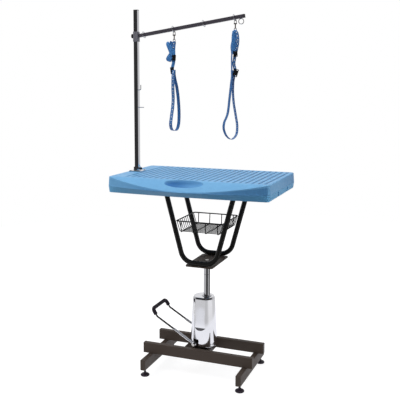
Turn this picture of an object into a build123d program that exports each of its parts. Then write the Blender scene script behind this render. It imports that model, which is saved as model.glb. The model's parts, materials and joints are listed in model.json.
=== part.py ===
"""Hydraulic grooming table: moulded ribbed top on two U-legs, foot-pumped column, tube base,
wire basket, post with a tilted arm and two nooses.  Millimetres, +Z up, +X towards the end of
the table away from the post, -Y is the front.  Drawn about the column's axis; the finished
pieces are moved so that the origin is on the floor under the middle of the whole object."""

from build123d import *
from math import cos, radians, sin, sqrt, tan
import os

os.makedirs("parts", exist_ok=True)

COLUMN_PLACE = (20.0, 46.0, 0.0)  # column axis in the finished frame
FRONT, RIGHT, LEFT = (0, -1, 0), (1, 0, 0), (-1, 0, 0)
SIDES = (-1, 1)


# ------------------------------------------------------------------ helpers
def save(builder, name):
    piece = Pos(*COLUMN_PLACE) * builder.part
    piece.label = name
    export_step(piece, f"parts/{name}.step")


def upright(x, y, z, facing=FRONT):
    """Vertical plane; its local x runs along +Y if it faces along X, otherwise along +X."""
    return Plane(origin=(x, y, z), x_dir=(0, 1, 0) if facing[0] else (1, 0, 0), z_dir=facing)


def turned(profile, x=0, y=0):
    """Solid of revolution about the vertical axis at x, y from (radius, z) points."""
    with BuildPart() as solid:
        with BuildSketch(upright(x, y, 0)):
            with BuildLine():
                Polyline(*profile, close=True)
            make_face()
        revolve(axis=Axis((x, y, 0), (0, 0, 1)))
    return solid


def swept(points, bend, radius, bore=0, close=False):
    """Round rod, or tube if it has a bore radius, along a polyline with rounded corners."""
    with BuildPart() as solid:
        with BuildLine() as path:
            FilletPolyline(*points, radius=bend, close=close)
        with BuildSketch(Plane(origin=path.line @ 0, z_dir=path.line % 0)):
            Circle(radius)
            if bore:
                Circle(bore, mode=Mode.SUBTRACT)
        sweep()
    return solid


# ------------------------------------------------------------------ base rails
BASE_X, BASE_Y = -14.0, -5.0      # centre of the base
RAIL_W, RAIL_H, RAIL_T = 30.0, 60.0, 2.0
RAIL_CORNER = 3
LONG_L, LONG_DY = 650.0, 111.0    # long rails: length without caps, half spacing
CROSS_L, CROSS_DX = 460.0, 282.0  # cross rails: length without caps, half spacing
CROSS_Z0 = 40.0                   # undersides; the long rails rest on the cross rails
LONG_Z0 = CROSS_Z0 + RAIL_H
CROSS_MID_Z, LONG_MID_Z = CROSS_Z0 + RAIL_H / 2, LONG_Z0 + RAIL_H / 2
FOOT_DY = 203.0                   # feet: half spacing front to back
STUD_HOLE_R = 6.5
CAP_T, PLUG_L = 3, 14             # end cap: plate thickness, plug depth in the tube
PLUG_GAP, PLUG_WALLS = 0.4, 4.4   # taken off the tube's inner size: plug, hollow of the plug

FOOT_XY = [(BASE_X + sx * CROSS_DX, BASE_Y + sy * FOOT_DY) for sx in SIDES for sy in SIDES]


def rail(plane, length, stud_holes=()):
    with BuildPart() as tube:
        with BuildSketch(plane):
            RectangleRounded(RAIL_W, RAIL_H, RAIL_CORNER)
            offset(amount=-RAIL_T, kind=Kind.INTERSECTION, mode=Mode.SUBTRACT)
        extrude(amount=length)
        if stud_holes:
            # clearance holes for the foot studs in the lower wall
            with BuildSketch(Plane.XY.offset(CROSS_Z0 - 1)):
                with Locations(*stud_holes):
                    Circle(STUD_HOLE_R)
            extrude(amount=RAIL_T + 2, mode=Mode.SUBTRACT)
    return tube


for name, side in (("long_rail_front", -1), ("long_rail_rear", 1)):
    left_end = upright(BASE_X - LONG_L / 2, BASE_Y + side * LONG_DY, LONG_MID_Z, RIGHT)
    save(rail(left_end, LONG_L), name)

for name, side, holes in (("cross_rail_left", -1, FOOT_XY[:2]), ("cross_rail_right", 1, FOOT_XY[2:])):
    front_end = upright(BASE_X + side * CROSS_DX, BASE_Y - CROSS_L / 2, CROSS_MID_Z, (0, 1, 0))
    save(rail(front_end, CROSS_L, holes), name)

# plastic plugs in the eight open tube ends: (centre of the end, outward direction)
rail_ends = []
for sy in SIDES:
    for sx in SIDES:
        long_end = (BASE_X + sx * LONG_L / 2, BASE_Y + sy * LONG_DY, LONG_MID_Z)
        cross_end = (BASE_X + sx * CROSS_DX, BASE_Y + sy * CROSS_L / 2, CROSS_MID_Z)
        rail_ends += [(long_end, (sx, 0, 0)), (cross_end, (0, sy, 0))]

bore_w, bore_h = RAIL_W - 2 * RAIL_T, RAIL_H - 2 * RAIL_T
with BuildPart() as caps:
    for centre, outward in rail_ends:
        with BuildSketch(upright(*centre, outward)):
            RectangleRounded(RAIL_W, RAIL_H, RAIL_CORNER)
        extrude(amount=CAP_T)
        inward = tuple(-c for c in outward)
        with BuildSketch(upright(*centre, inward)):
            RectangleRounded(bore_w - PLUG_GAP, bore_h - PLUG_GAP, 1.4)
            Rectangle(bore_w - PLUG_WALLS, bore_h - PLUG_WALLS, mode=Mode.SUBTRACT)
        extrude(amount=PLUG_L)
save(caps, "rail_end_caps")

# ------------------------------------------------------------------ levelling feet
STUD_R, STUD_L = 5, 48
INSERT_SIZE, INSERT_H = 22, 12
PAD_TOP, HEX_R, HEX_H = 13, 8.1, 9
PAD_PROFILE = [(0, 0), (23, 0), (25, 2), (25, 7), (22, 10), (13, PAD_TOP), (0, PAD_TOP)]  # r, z

# threaded blocks inside the cross rails, one over each foot
with BuildPart() as inserts:
    with BuildSketch(Plane.XY.offset(CROSS_Z0 + RAIL_T)):
        for x, y in FOOT_XY:
            with Locations((x, y)):
                RectangleRounded(INSERT_SIZE, INSERT_SIZE, 2)
                Circle(STUD_R + 0.05, mode=Mode.SUBTRACT)
    extrude(amount=INSERT_H)
save(inserts, "foot_inserts")

# moulded pad with a hex and a threaded stud
for name, (x, y) in zip(("front_left", "rear_left", "front_right", "rear_right"), FOOT_XY):
    pad = turned(PAD_PROFILE, x, y)
    with BuildPart() as foot:
        add(pad.part)
        with BuildSketch(Plane(origin=(x, y, PAD_TOP))):
            RegularPolygon(HEX_R, 6)
        extrude(amount=HEX_H)
        with BuildSketch(Plane(origin=(x, y, PAD_TOP + HEX_H))):
            Circle(STUD_R)
        extrude(amount=STUD_L)
    save(foot, f"foot_{name}")

# ------------------------------------------------------------------ pump body
PLATE_X0, PLATE_X1, PLATE_T = -143.0, 27.0, 8.0
PLATE_TOP = 110.0
BOLT_XY = [(-60, -31), (-60, 31), (-8, -42), (-8, 42)]
BOLT_R, BOLT_HOLE_R, BOLT_HEX_R = 4, 4.5, 7.5
BOLT_HEAD_H, BOLT_NUT_H, BOLT_END = 5.5, 6.5, 6  # BOLT_END: stud below the plate
FLANGE_T = 14
FLANGE_TOP = PLATE_TOP + FLANGE_T

COVER_X = -17.0                   # centre of the pump cover, off the column's axis
COVER_Z0, COVER_Z1 = 157.0, 440.0
COVER_R0, COVER_R1 = 77.5, 62.7   # outer radius at the bottom and at the top
COVER_FOOT_T = 3

PEDAL_X, PEDAL_Z = -43.0, 178.0   # pedal shaft
SHAFT_R = 7
ROCKER_R = 24.0
PLUNGER_X = PEDAL_X - ROCKER_R
PLUNGER_R = 8
EAR_R, EAR_T = 13, 10
EAR_DROP = PEDAL_Z - PLATE_TOP - 10

CYL_RO, CYL_RI = 27.0, 23.0
CYL_TOP = 425
ROD_R = 18.0

with BuildPart() as plate:
    with BuildSketch(Plane.XY.offset(PLATE_TOP - PLATE_T)):
        with Locations(((PLATE_X0 + PLATE_X1) / 2, BASE_Y)):
            Rectangle(PLATE_X1 - PLATE_X0, 2 * (LONG_DY - RAIL_W / 2))
        with Locations(*BOLT_XY):
            Circle(BOLT_HOLE_R, mode=Mode.SUBTRACT)
    extrude(amount=PLATE_T)
save(plate, "pump_mounting_plate")

with BuildPart() as pump:
    # flange
    with BuildSketch(Plane.XY.offset(PLATE_TOP)):
        with Locations((-22.5, 0)):
            RectangleRounded(99, 100, 10)
        with Locations(*BOLT_XY):
            Circle(BOLT_HOLE_R, mode=Mode.SUBTRACT)
    extrude(amount=FLANGE_T)
    # pedestal round the cylinder's foot
    with BuildSketch(Plane.XY.offset(FLANGE_TOP)):
        Circle(CYL_RO + 3)
    extrude(amount=10)
    # plunger block
    with BuildSketch(Plane.XY.offset(PLATE_TOP)):
        with Locations((PLUNGER_X - 4, 0)):
            RectangleRounded(34, 44, 6)
    extrude(amount=36)
    # ears that carry the pedal shaft
    for y in (-40, 50):
        with BuildSketch(upright(PEDAL_X, y, PEDAL_Z)):
            with BuildLine():
                Polyline(
                    (-EAR_R, 0), (-EAR_R, -EAR_DROP), (EAR_R, -EAR_DROP), (EAR_R, 0), close=True
                )
            make_face()
            Circle(EAR_R)
        extrude(amount=EAR_T)
    with BuildSketch(upright(PEDAL_X, 60, PEDAL_Z)):
        Circle(SHAFT_R + 0.05)
    extrude(amount=120, mode=Mode.SUBTRACT)
    # posts under the cover's rim
    with BuildSketch(Plane.XY.offset(PLATE_TOP)):
        with Locations(*[(COVER_X + x, y) for x, y in ((40, 38), (40, -38), (-64, 15), (-64, -15))]):
            RectangleRounded(12, 10, 3)
    extrude(amount=COVER_Z0 - PLATE_TOP - COVER_FOOT_T)
    # seat for the cylinder, plunger bore
    with BuildSketch(Plane.XY.offset(FLANGE_TOP)):
        Circle(CYL_RO)
    extrude(amount=20, mode=Mode.SUBTRACT)
    with BuildSketch(Plane.XY.offset(PLATE_TOP + 4)):
        with Locations((PLUNGER_X, 0)):
            Circle(PLUNGER_R + 0.05)
    extrude(amount=40, mode=Mode.SUBTRACT)
save(pump, "pump_body")

with BuildPart() as bolts:
    for x, y in BOLT_XY:
        with BuildSketch(Plane(origin=(x, y, FLANGE_TOP))):
            RegularPolygon(BOLT_HEX_R, 6)
        extrude(amount=BOLT_HEAD_H)
        with BuildSketch(Plane(origin=(x, y, PLATE_TOP - PLATE_T - BOLT_END))):
            Circle(BOLT_R)
        extrude(amount=BOLT_END + PLATE_T + FLANGE_T)
        with BuildSketch(Plane(origin=(x, y, PLATE_TOP - PLATE_T - BOLT_NUT_H))):
            RegularPolygon(BOLT_HEX_R, 6)
        extrude(amount=BOLT_NUT_H)
save(bolts, "pump_bolts")

# ------------------------------------------------------------------ column
CYL_FLOOR_T = 8
GLAND_R, GLAND_TOP = 28, 442
GLAND_BORE_R = ROD_R + 0.05
SEAL_R, SEAL_Z, SEAL_H = 22, 429, 5
HEAD_Z0, HEAD_Z1 = 265, 285       # piston head
HEAD_R = CYL_RI - 0.08
GROOVE_R, GROOVE_Z, GROOVE_H = 19.5, 271, 6
ROD_NECK_R, ROD_TENON_R = 12, 15  # reduced ends of the rod: in the head, in the hub
ROD_TOP, TENON_TOP = 567.0, 616
WASHER_T = 3

with BuildPart() as cylinder:
    with BuildSketch(Plane.XY.offset(FLANGE_TOP)):
        Circle(CYL_RO)
    extrude(amount=CYL_TOP - FLANGE_TOP)
    with BuildSketch(Plane.XY.offset(FLANGE_TOP + CYL_FLOOR_T)):
        Circle(CYL_RI)
    extrude(amount=400, mode=Mode.SUBTRACT)
save(cylinder, "pump_cylinder")

save(turned([
    (GLAND_BORE_R, 408), (CYL_RI, 408), (CYL_RI, CYL_TOP), (GLAND_R, CYL_TOP),
    (GLAND_R, GLAND_TOP - 2), (GLAND_R - 2, GLAND_TOP), (GLAND_BORE_R, GLAND_TOP),
    (GLAND_BORE_R, SEAL_Z + SEAL_H), (SEAL_R, SEAL_Z + SEAL_H), (SEAL_R, SEAL_Z),
    (GLAND_BORE_R, SEAL_Z),
]), "gland_nut")

save(turned([
    (ROD_NECK_R, HEAD_Z0), (HEAD_R, HEAD_Z0), (HEAD_R, GROOVE_Z), (GROOVE_R, GROOVE_Z),
    (GROOVE_R, GROOVE_Z + GROOVE_H), (HEAD_R, GROOVE_Z + GROOVE_H), (HEAD_R, HEAD_Z1),
    (ROD_NECK_R, HEAD_Z1),
]), "piston_head")

save(turned([
    (0, HEAD_Z0), (ROD_NECK_R, HEAD_Z0), (ROD_NECK_R, HEAD_Z1), (ROD_R, HEAD_Z1),
    (ROD_R, ROD_TOP), (ROD_TENON_R, ROD_TOP), (ROD_TENON_R, TENON_TOP), (0, TENON_TOP),
]), "piston_rod")

# flat rings round the column: name, underside, outer radius, inner radius, height
for name, z, outer, inner, height in (
    ("rod_seal", SEAL_Z, SEAL_R, GLAND_BORE_R, SEAL_H),
    ("piston_seal", GROOVE_Z, CYL_RI - 0.05, GROOVE_R, GROOVE_H),
    ("thrust_washer", ROD_TOP, ROD_R, ROD_TENON_R, WASHER_T),
):
    with BuildPart() as ring:
        with BuildSketch(Plane.XY.offset(z)):
            Circle(outer)
            Circle(inner, mode=Mode.SUBTRACT)
        extrude(amount=height)
    save(ring, name)

# ------------------------------------------------------------------ pump cover
# The cover's flat front is a wall parallel to the cone's slope and set back into it, from the
# top down to a sloping ledge.
FLAT_SETBACK, LEDGE_Z0, LEDGE_Z1 = 7.0, 253.0, 267.0
FLAT_W, FLAT_T = 66, 2
COVER_T = 2


def cone_r(z):
    return COVER_R0 + (COVER_R1 - COVER_R0) * (z - COVER_Z0) / (COVER_Z1 - COVER_Z0)


# y of the outer face at the ledge's bottom, at the ledge's top and at the cover's top
LEDGE_Y0 = -cone_r(LEDGE_Z0) - 0.2
LEDGE_Y1 = -cone_r(LEDGE_Z1) + FLAT_SETBACK
FLAT_TOP_Y = -cone_r(COVER_Z1) + FLAT_SETBACK
FLAT_LINE = [(LEDGE_Y0, LEDGE_Z0), (LEDGE_Y1, LEDGE_Z1), (FLAT_TOP_Y, COVER_Z1)]  # y, z

cone = turned([(0, COVER_Z0), (COVER_R0, COVER_Z0), (COVER_R1, COVER_Z1), (0, COVER_Z1)], COVER_X)
with BuildPart() as flat_front:
    add(cone.part)
    with BuildSketch(upright(COVER_X - FLAT_W / 2, 0, 0, RIGHT)):
        with BuildLine():
            Polyline(
                *FLAT_LINE, (FLAT_TOP_Y + FLAT_T, COVER_Z1), (LEDGE_Y1 + FLAT_T, LEDGE_Z1 - 0.8),
                (LEDGE_Y0 + FLAT_T, LEDGE_Z0 - 0.8), close=True,
            )
        make_face()
    extrude(amount=FLAT_W, mode=Mode.INTERSECT)

# tapered cover: thin shell with a flat top, an opening for the gland, and a notch at each side
shell = turned([
    (COVER_R0, COVER_Z0), (COVER_R1, COVER_Z1), (0, COVER_Z1), (0, COVER_Z1 - COVER_T),
    (COVER_R1 - COVER_T - 0.1, COVER_Z1 - COVER_T), (COVER_R0 - COVER_T, COVER_Z0),
], COVER_X)
with BuildPart() as cover:
    add(shell.part)
    with BuildSketch(Plane.XY.offset(COVER_Z1 - 5)):
        Circle(GLAND_R + 0.4)
    extrude(amount=10, mode=Mode.SUBTRACT)
    with BuildSketch(upright(PEDAL_X + 3, 100, COVER_Z0)):
        with Locations((0, 14)):
            RectangleRounded(34, 60, 9)
    extrude(amount=200, mode=Mode.SUBTRACT)
    # room for the flat front
    with BuildSketch(upright(COVER_X - 40, 0, 0, RIGHT)):
        with BuildLine():
            Polyline(
                *FLAT_LINE, (FLAT_TOP_Y, COVER_Z1 + 5), (-100, COVER_Z1 + 5), (-100, LEDGE_Z0),
                close=True,
            )
        make_face()
    extrude(amount=80, mode=Mode.SUBTRACT)
    add(flat_front.part)
    # four welded feet that sit on the pump's posts, each with a block against the wall
    with BuildSketch(Plane.XY.offset(COVER_Z0 - COVER_FOOT_T)):
        with Locations((COVER_X + 53, 38), (COVER_X + 53, -38)):
            Rectangle(32, 12)
        with Locations((COVER_X - 71, 15), (COVER_X - 71, -15)):
            Rectangle(26, 12)
        with Locations((COVER_X, 0)):
            Circle(COVER_R0 - 1.2, mode=Mode.INTERSECT)
    extrude(amount=COVER_FOOT_T)
    with BuildSketch(Plane.XY.offset(COVER_Z0)):
        with Locations(*[(COVER_X + x, y) for x, y in ((63, 38), (63, -38), (-75, 15), (-75, -15))]):
            Rectangle(13, 12)
        with Locations((COVER_X, 0)):
            Circle(COVER_R0 - 1.2, mode=Mode.INTERSECT)
    extrude(amount=6)
save(cover, "pump_cover")

# ------------------------------------------------------------------ pedal
SHAFT_HALF = 101
ROCKER_T = 16
PLUNGER_HEAD_R, PLUNGER_HEAD_Z0, PLUNGER_HEAD_Z1 = 11, 166.4, 171.4
SPRING_Z0, SPRING_Z1 = 146.2, 166.2
SPRING_R, SPRING_WIRE_R, SPRING_PITCH = 9.4, 0.9, 5.0
PEDAL_HALF = 90.0                 # pedal arms' half spacing
EYE_R, EYE_T = 13, 12
PEDAL_ARM_R, PEDAL_ARM_L = 7, 134
PEDAL_ARM_START = 11.5            # from the shaft's axis to the arm's lower end
SOCKET_START = 94                 # along the arm
PEDAL_ROD_R, PEDAL_ROD_BEND = 5, 20
GRIP_R = 11

with BuildPart() as shaft:
    with BuildSketch(upright(PEDAL_X, SHAFT_HALF, PEDAL_Z)):
        Circle(SHAFT_R)
    extrude(amount=2 * SHAFT_HALF)
save(shaft, "pedal_shaft")

with BuildPart() as rocker:
    with BuildSketch(upright(PEDAL_X, ROCKER_T / 2, PEDAL_Z)):
        Circle(12)
        with BuildLine():
            Polyline((0, 9), (-ROCKER_R, 6), (-ROCKER_R, -6), (0, -6), close=True)
        make_face()
        with Locations((-ROCKER_R, 0)):
            Circle(6)
        Circle(SHAFT_R, mode=Mode.SUBTRACT)
    extrude(amount=ROCKER_T)
save(rocker, "rocker")

save(turned([
    (0, 127), (PLUNGER_R, 127), (PLUNGER_R, PLUNGER_HEAD_Z0), (PLUNGER_HEAD_R, PLUNGER_HEAD_Z0),
    (PLUNGER_HEAD_R, PLUNGER_HEAD_Z1), (0, PLUNGER_HEAD_Z1),
], PLUNGER_X), "pump_plunger")

with BuildPart() as spring:
    with BuildLine() as coil:
        Helix(
            pitch=SPRING_PITCH,
            height=SPRING_Z1 - SPRING_Z0 - 2 * SPRING_WIRE_R - 0.2,
            radius=SPRING_R,
            center=(PLUNGER_X, 0, SPRING_Z0 + SPRING_WIRE_R + 0.1),
        )
    with BuildSketch(Plane(origin=coil.line @ 0, z_dir=coil.line % 0)):
        Circle(SPRING_WIRE_R)
    sweep(is_frenet=True)
save(spring, "plunger_spring")

# pedal: two chrome arms from the shaft, one bent rod joining them, rubber sleeve at the bend
rod_bend = Vector(-272, 0, 311)
rod_tip = Vector(-300, 0, 354)
arm_dir = (rod_bend - Vector(PEDAL_X, 0, PEDAL_Z)).normalized()
with BuildPart() as pedal_arms:
    for side in SIDES:
        y = side * PEDAL_HALF
        # eye on the shaft
        with BuildSketch(upright(PEDAL_X, y + side * EYE_T / 2, PEDAL_Z, (0, -side, 0))):
            Circle(EYE_R)
            Circle(SHAFT_R, mode=Mode.SUBTRACT)
        extrude(amount=EYE_T)
        # round arm running up and to the left
        start = Vector(PEDAL_X, y, PEDAL_Z) + arm_dir * PEDAL_ARM_START
        with BuildSketch(Plane(origin=start, x_dir=(0, 1, 0), z_dir=arm_dir)):
            Circle(PEDAL_ARM_R)
        extrude(amount=PEDAL_ARM_L)
        # socket for the bent rod
        socket = start + arm_dir * SOCKET_START
        with BuildSketch(Plane(origin=socket, x_dir=(0, 1, 0), z_dir=arm_dir)):
            Circle(PEDAL_ROD_R)
        extrude(amount=60, mode=Mode.SUBTRACT)
save(pedal_arms, "pedal_arms")


def mirrored_path(points):
    """Path through the points on the front side, then back through them on the rear side."""
    front = [(p.X, -PEDAL_HALF, p.Z) for p in points]
    rear = [(p.X, PEDAL_HALF, p.Z) for p in reversed(points)]
    return front + rear


rod_start = Vector(PEDAL_X, 0, PEDAL_Z) + arm_dir * (PEDAL_ARM_START + SOCKET_START)
rod_path = mirrored_path([rod_start, rod_bend, rod_tip])
save(swept(rod_path, PEDAL_ROD_BEND, PEDAL_ROD_R), "pedal_rod")

grip_start = rod_bend + (rod_tip - rod_bend).normalized() * 14
grip_path = mirrored_path([grip_start, rod_tip])
save(swept(grip_path, PEDAL_ROD_BEND, GRIP_R, PEDAL_ROD_R), "pedal_grip")

with BuildPart() as pedal_bolts:
    for side in SIDES:
        with BuildSketch(upright(PEDAL_X, side * SHAFT_HALF, PEDAL_Z, (0, side, 0))):
            RegularPolygon(9, 6)
        extrude(amount=6)
save(pedal_bolts, "pedal_bolts")

# ------------------------------------------------------------------ yoke and legs
YOKE_TOP, YOKE_T = 643.5, 8.0
YOKE_X, YOKE_Y = -4.0, 16.0       # centre of the yoke and of the U-legs, off the column's axis
HUB_R, HUB_BORE_R, HUB_BORE_TOP = 34, ROD_TENON_R + 0.05, 619
YOKE_BOLT_R, YOKE_BOLT_Z0 = 6, 620
LEG_R, LEG_Y = 14.0, 130.0        # U-leg tube radius, half spacing
LEG_T, LEG_BEND = 2, 76
LEG_Z0 = YOKE_TOP + LEG_R         # centre height of the bottom run
LEG_H0, LEG_SLOPE = 93.4, 0.272   # half spacing at the bottom, spread per mm of height
FRAME_Z0, FRAME_Z1 = 1100.0, 1118.0
FRAME_L, FRAME_W = 560, 40        # length of the long bars, width of all bars
SCREW_R, SCREW_L = 3, 32          # top screws, length above the subframe's underside

with BuildPart() as yoke:
    with BuildSketch(Plane.XY.offset(YOKE_TOP - YOKE_T)):
        with Locations((YOKE_X, YOKE_Y)):
            RectangleRounded(160, 282, 12)
        Circle(YOKE_BOLT_R + 0.2, mode=Mode.SUBTRACT)
    extrude(amount=YOKE_T)
save(yoke, "yoke_plate")

save(turned([
    (HUB_BORE_R, ROD_TOP + WASHER_T), (ROD_R, ROD_TOP + WASHER_T), (ROD_R, 624), (HUB_R, 628),
    (HUB_R, YOKE_TOP - YOKE_T), (YOKE_BOLT_R, YOKE_TOP - YOKE_T), (YOKE_BOLT_R, HUB_BORE_TOP),
    (HUB_BORE_R, HUB_BORE_TOP),
]), "yoke_hub")

with BuildPart() as yoke_bolt:
    with BuildSketch(Plane.XY.offset(YOKE_TOP)):
        RegularPolygon(11, 6)
    extrude(amount=7.5)
    with BuildSketch(Plane.XY.offset(YOKE_BOLT_Z0)):
        Circle(YOKE_BOLT_R)
    extrude(amount=YOKE_TOP - YOKE_BOLT_Z0)
save(yoke_bolt, "yoke_bolt")


def leg_half(z):
    return LEG_H0 + (z - LEG_Z0) * LEG_SLOPE


# each leg is swept past the subframe's underside, then trimmed level with it
leg_end_z = FRAME_Z0 + 15
for name, y in (("u_leg_front", YOKE_Y - LEG_Y), ("u_leg_rear", YOKE_Y + LEG_Y)):
    tube = swept([
        (YOKE_X - leg_half(leg_end_z), y, leg_end_z), (YOKE_X - LEG_H0, y, LEG_Z0),
        (YOKE_X + LEG_H0, y, LEG_Z0), (YOKE_X + leg_half(leg_end_z), y, leg_end_z),
    ], LEG_BEND, LEG_R, LEG_R - LEG_T)
    with BuildPart() as leg:
        add(tube.part)
        with BuildSketch(Plane.XY.offset(FRAME_Z0)):
            Rectangle(700, 400)
        extrude(amount=60, mode=Mode.SUBTRACT)
    save(leg, name)

SCREW_XY = [(YOKE_X + x, YOKE_Y + y) for x in (-255, 0, 255) for y in (-LEG_Y, LEG_Y)]
with BuildPart() as frame:
    with BuildSketch(Plane.XY.offset(FRAME_Z0)):
        with Locations((YOKE_X, YOKE_Y - LEG_Y), (YOKE_X, YOKE_Y + LEG_Y)):
            Rectangle(FRAME_L, FRAME_W)
        with Locations(*[(YOKE_X + side * leg_half(FRAME_Z0), YOKE_Y) for side in SIDES]):
            Rectangle(FRAME_W, 2 * LEG_Y)
        with Locations(*SCREW_XY):
            Circle(SCREW_R + 0.3, mode=Mode.SUBTRACT)
    extrude(amount=FRAME_Z1 - FRAME_Z0)
save(frame, "top_subframe")

with BuildPart() as top_screws:
    for x, y in SCREW_XY:
        with BuildSketch(Plane(origin=(x, y, FRAME_Z0 - 4))):
            Circle(6)
        extrude(amount=4)
        with BuildSketch(Plane(origin=(x, y, FRAME_Z0))):
            Circle(SCREW_R)
        extrude(amount=SCREW_L)
save(top_screws, "top_screws")

# ------------------------------------------------------------------ tabletop
TOP_X, TOP_Y = -20.0, -7.0        # centre of the tabletop
TOP_W, TOP_D, TOP_Z = 900.0, 550.0, 1144.0
BELT_Z, BOTTOM_Z = 1093.0, 1057.0
BELT_OUT = 4.0
BOW_BELT, BOW_BOTTOM = 78.0, 15.0  # how far the front bows out at the belt line and the bottom
TOP_FRONT_Y = TOP_Y - TOP_D / 2   # front edge without the bow
FRONT_DROP, DROP_FALLOFF = 47.0, 1.9  # fall of the sloping front at mid width, and its exponent
SLOPE_POWER = 1.6                 # exponent of the slope's curve, front to back
STATIONS = 17                     # sections across the width that shape the sloping front
DISH_TILT, DISH_RADII = 24, (106, 33, 24)
RIB_PITCH = 34.1
GROOVE_COUNT, GROOVE_W, GROOVE_DEPTH = 24, 13, 2.6
GROOVE_X0 = TOP_X - 360
RIB_FRONT = TOP_FRONT_Y + 23.0
SKIN_Z = 1137                     # underside of the skin
POCKET_W, POCKET_D, POCKET_Y = TOP_W - 14, TOP_D - 34, TOP_Y + 10
WEB_T = 4
POST_X, POST_Y = -430.0, -12.0    # post axis


def outline(z, grow, bow):
    """Sketch of the top's plan at height z: straight sides, front edge bowed out by bow."""
    x0, x1 = TOP_X - TOP_W / 2 - grow, TOP_X + TOP_W / 2 + grow
    y0, y1 = TOP_FRONT_Y - grow, TOP_Y + TOP_D / 2 + grow
    with BuildSketch(Plane.XY.offset(z)) as plan:
        with BuildLine():
            ThreePointArc((x0, y0), (TOP_X, y0 - bow), (x1, y0))
            Polyline((x1, y0), (x1, y1), (x0, y1), (x0, y0))
        make_face()
    return plan.sketch


def bow_at(station, bow):
    """Bow of the circular front arc at a station in -1..1 across the width."""
    half = TOP_W / 2 + BELT_OUT
    radius = (half * half + bow * bow) / (2 * bow)
    return sqrt(radius * radius - (station * half) ** 2) - (radius - bow)


def front_cut(station):
    """Cut profile (y, z) of the sloping front at a station: from the ribs to the front arc."""
    bow = bow_at(min(abs(station), 0.9999), BOW_BELT) + BELT_OUT
    drop = max(FRONT_DROP * (1 - abs(station) ** DROP_FALLOFF), 0.02)
    edge_y = TOP_FRONT_Y - bow
    points = []
    for k in range(5):
        t = k / 4
        points.append((RIB_FRONT + (edge_y - RIB_FRONT) * t, TOP_Z - drop * t ** SLOPE_POWER))
    # run on past the edge at the slope reached there, then close above the top
    slope = drop * SLOPE_POWER / (RIB_FRONT - edge_y)
    points.append((edge_y - 12, TOP_Z - drop - 12 * slope))
    points.append((edge_y - 12, TOP_Z + 6))
    points.append((RIB_FRONT, TOP_Z + 6))
    return points


def is_corner_edge(edge):
    """Nearly vertical edge at a corner of the top."""
    a, b = edge @ 0, edge @ 1
    return abs(a.X - b.X) < 6 and abs(a.Y - b.Y) < 6 and abs(a.Z - b.Z) > 20


with BuildPart() as cutter:
    for i in range(STATIONS):
        station = -1.02 + 2.04 * i / (STATIONS - 1)
        with BuildSketch(upright(TOP_X + station * TOP_W / 2, 0, 0, RIGHT)):
            with BuildLine():
                Polyline(*front_cut(max(-1, min(1, station))), close=True)
            make_face()
    loft(ruled=True)

# tilted ellipsoid that hollows out the middle of the sloping front
dish_place = Pos(TOP_X, TOP_FRONT_Y - 25.0, TOP_Z - 13.5)
dish = dish_place * Rot(X=DISH_TILT) * scale(Sphere(1), by=DISH_RADII)

with BuildPart() as top:
    extrude(outline(BELT_Z, BELT_OUT, BOW_BELT), amount=TOP_Z - BELT_Z, dir=(0, 0, 1))
    bottom_face = outline(BOTTOM_Z, 0, BOW_BOTTOM).face()
    loft([bottom_face, outline(BELT_Z, BELT_OUT, BOW_BELT).face()], ruled=True)
    fillet(top.edges().filter_by(is_corner_edge), radius=14)
    add(cutter.part, mode=Mode.SUBTRACT)
    add(dish, mode=Mode.SUBTRACT)
    # straight grooves between the ribs, front to back
    with BuildSketch(Plane.XY.offset(TOP_Z - GROOVE_DEPTH)):
        y0, y1 = RIB_FRONT + 5, TOP_Y + TOP_D / 2 - 12
        for i in range(GROOVE_COUNT):
            with Locations((GROOVE_X0 + RIB_PITCH * i, (y0 + y1) / 2)):
                SlotOverall(y1 - y0, GROOVE_W, rotation=90)
    extrude(amount=6, mode=Mode.SUBTRACT)
    # hollow underside
    with BuildSketch(Plane.XY.offset(BOTTOM_Z - 1)):
        with Locations((TOP_X, POCKET_Y)):
            RectangleRounded(POCKET_W, POCKET_D, 12)
    extrude(amount=SKIN_Z - BOTTOM_Z + 1, mode=Mode.SUBTRACT)
    # moulded webs and screw bosses under the skin
    with BuildSketch(Plane.XY.offset(FRAME_Z1)):
        with Locations(*[(TOP_X, y) for y in (-190, 0, 190)]):
            Rectangle(POCKET_W, WEB_T)
        with Locations(*[(x, POCKET_Y) for x in (-330, -130, 110, 320)]):
            Rectangle(WEB_T, POCKET_D)
        with Locations(*SCREW_XY):
            Circle(9)
    extrude(amount=SKIN_Z - FRAME_Z1)
    with BuildSketch(Plane.XY.offset(FRAME_Z1 - 1)):
        with Locations(*SCREW_XY):
            Circle(SCREW_R)
    extrude(amount=FRAME_Z0 + SCREW_L - FRAME_Z1 + 1, mode=Mode.SUBTRACT)
    # two notches in the lower edge of each end
    with BuildSketch(Plane.XY.offset(BOTTOM_Z - 1)):
        with Locations(*[(TOP_X + side * TOP_W / 2, y) for side in SIDES for y in (-98, 100)]):
            Rectangle(30, 14)
    extrude(amount=30, mode=Mode.SUBTRACT)
    # square opening for the post socket
    with BuildSketch(Plane.XY.offset(BOTTOM_Z)):
        with Locations((POST_X, POST_Y)):
            Rectangle(33.4, 33.4)
    extrude(amount=120, mode=Mode.SUBTRACT)
save(top, "tabletop")

# ------------------------------------------------------------------ wire basket
# held between the sloping legs
RIM_Z, FLOOR_Z = 890.0, 828.0
RIM_HALF, FLOOR_HALF = 137.0, 119.0  # half widths along X
RIM_Y0, RIM_Y1 = -120.0, 158.0
FLOOR_Y0, FLOOR_Y1 = -114.0, 153.0
CROSS_WIRE_Z = FLOOR_Z + 3.4      # cross wires lie on the front-to-back wires

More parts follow.
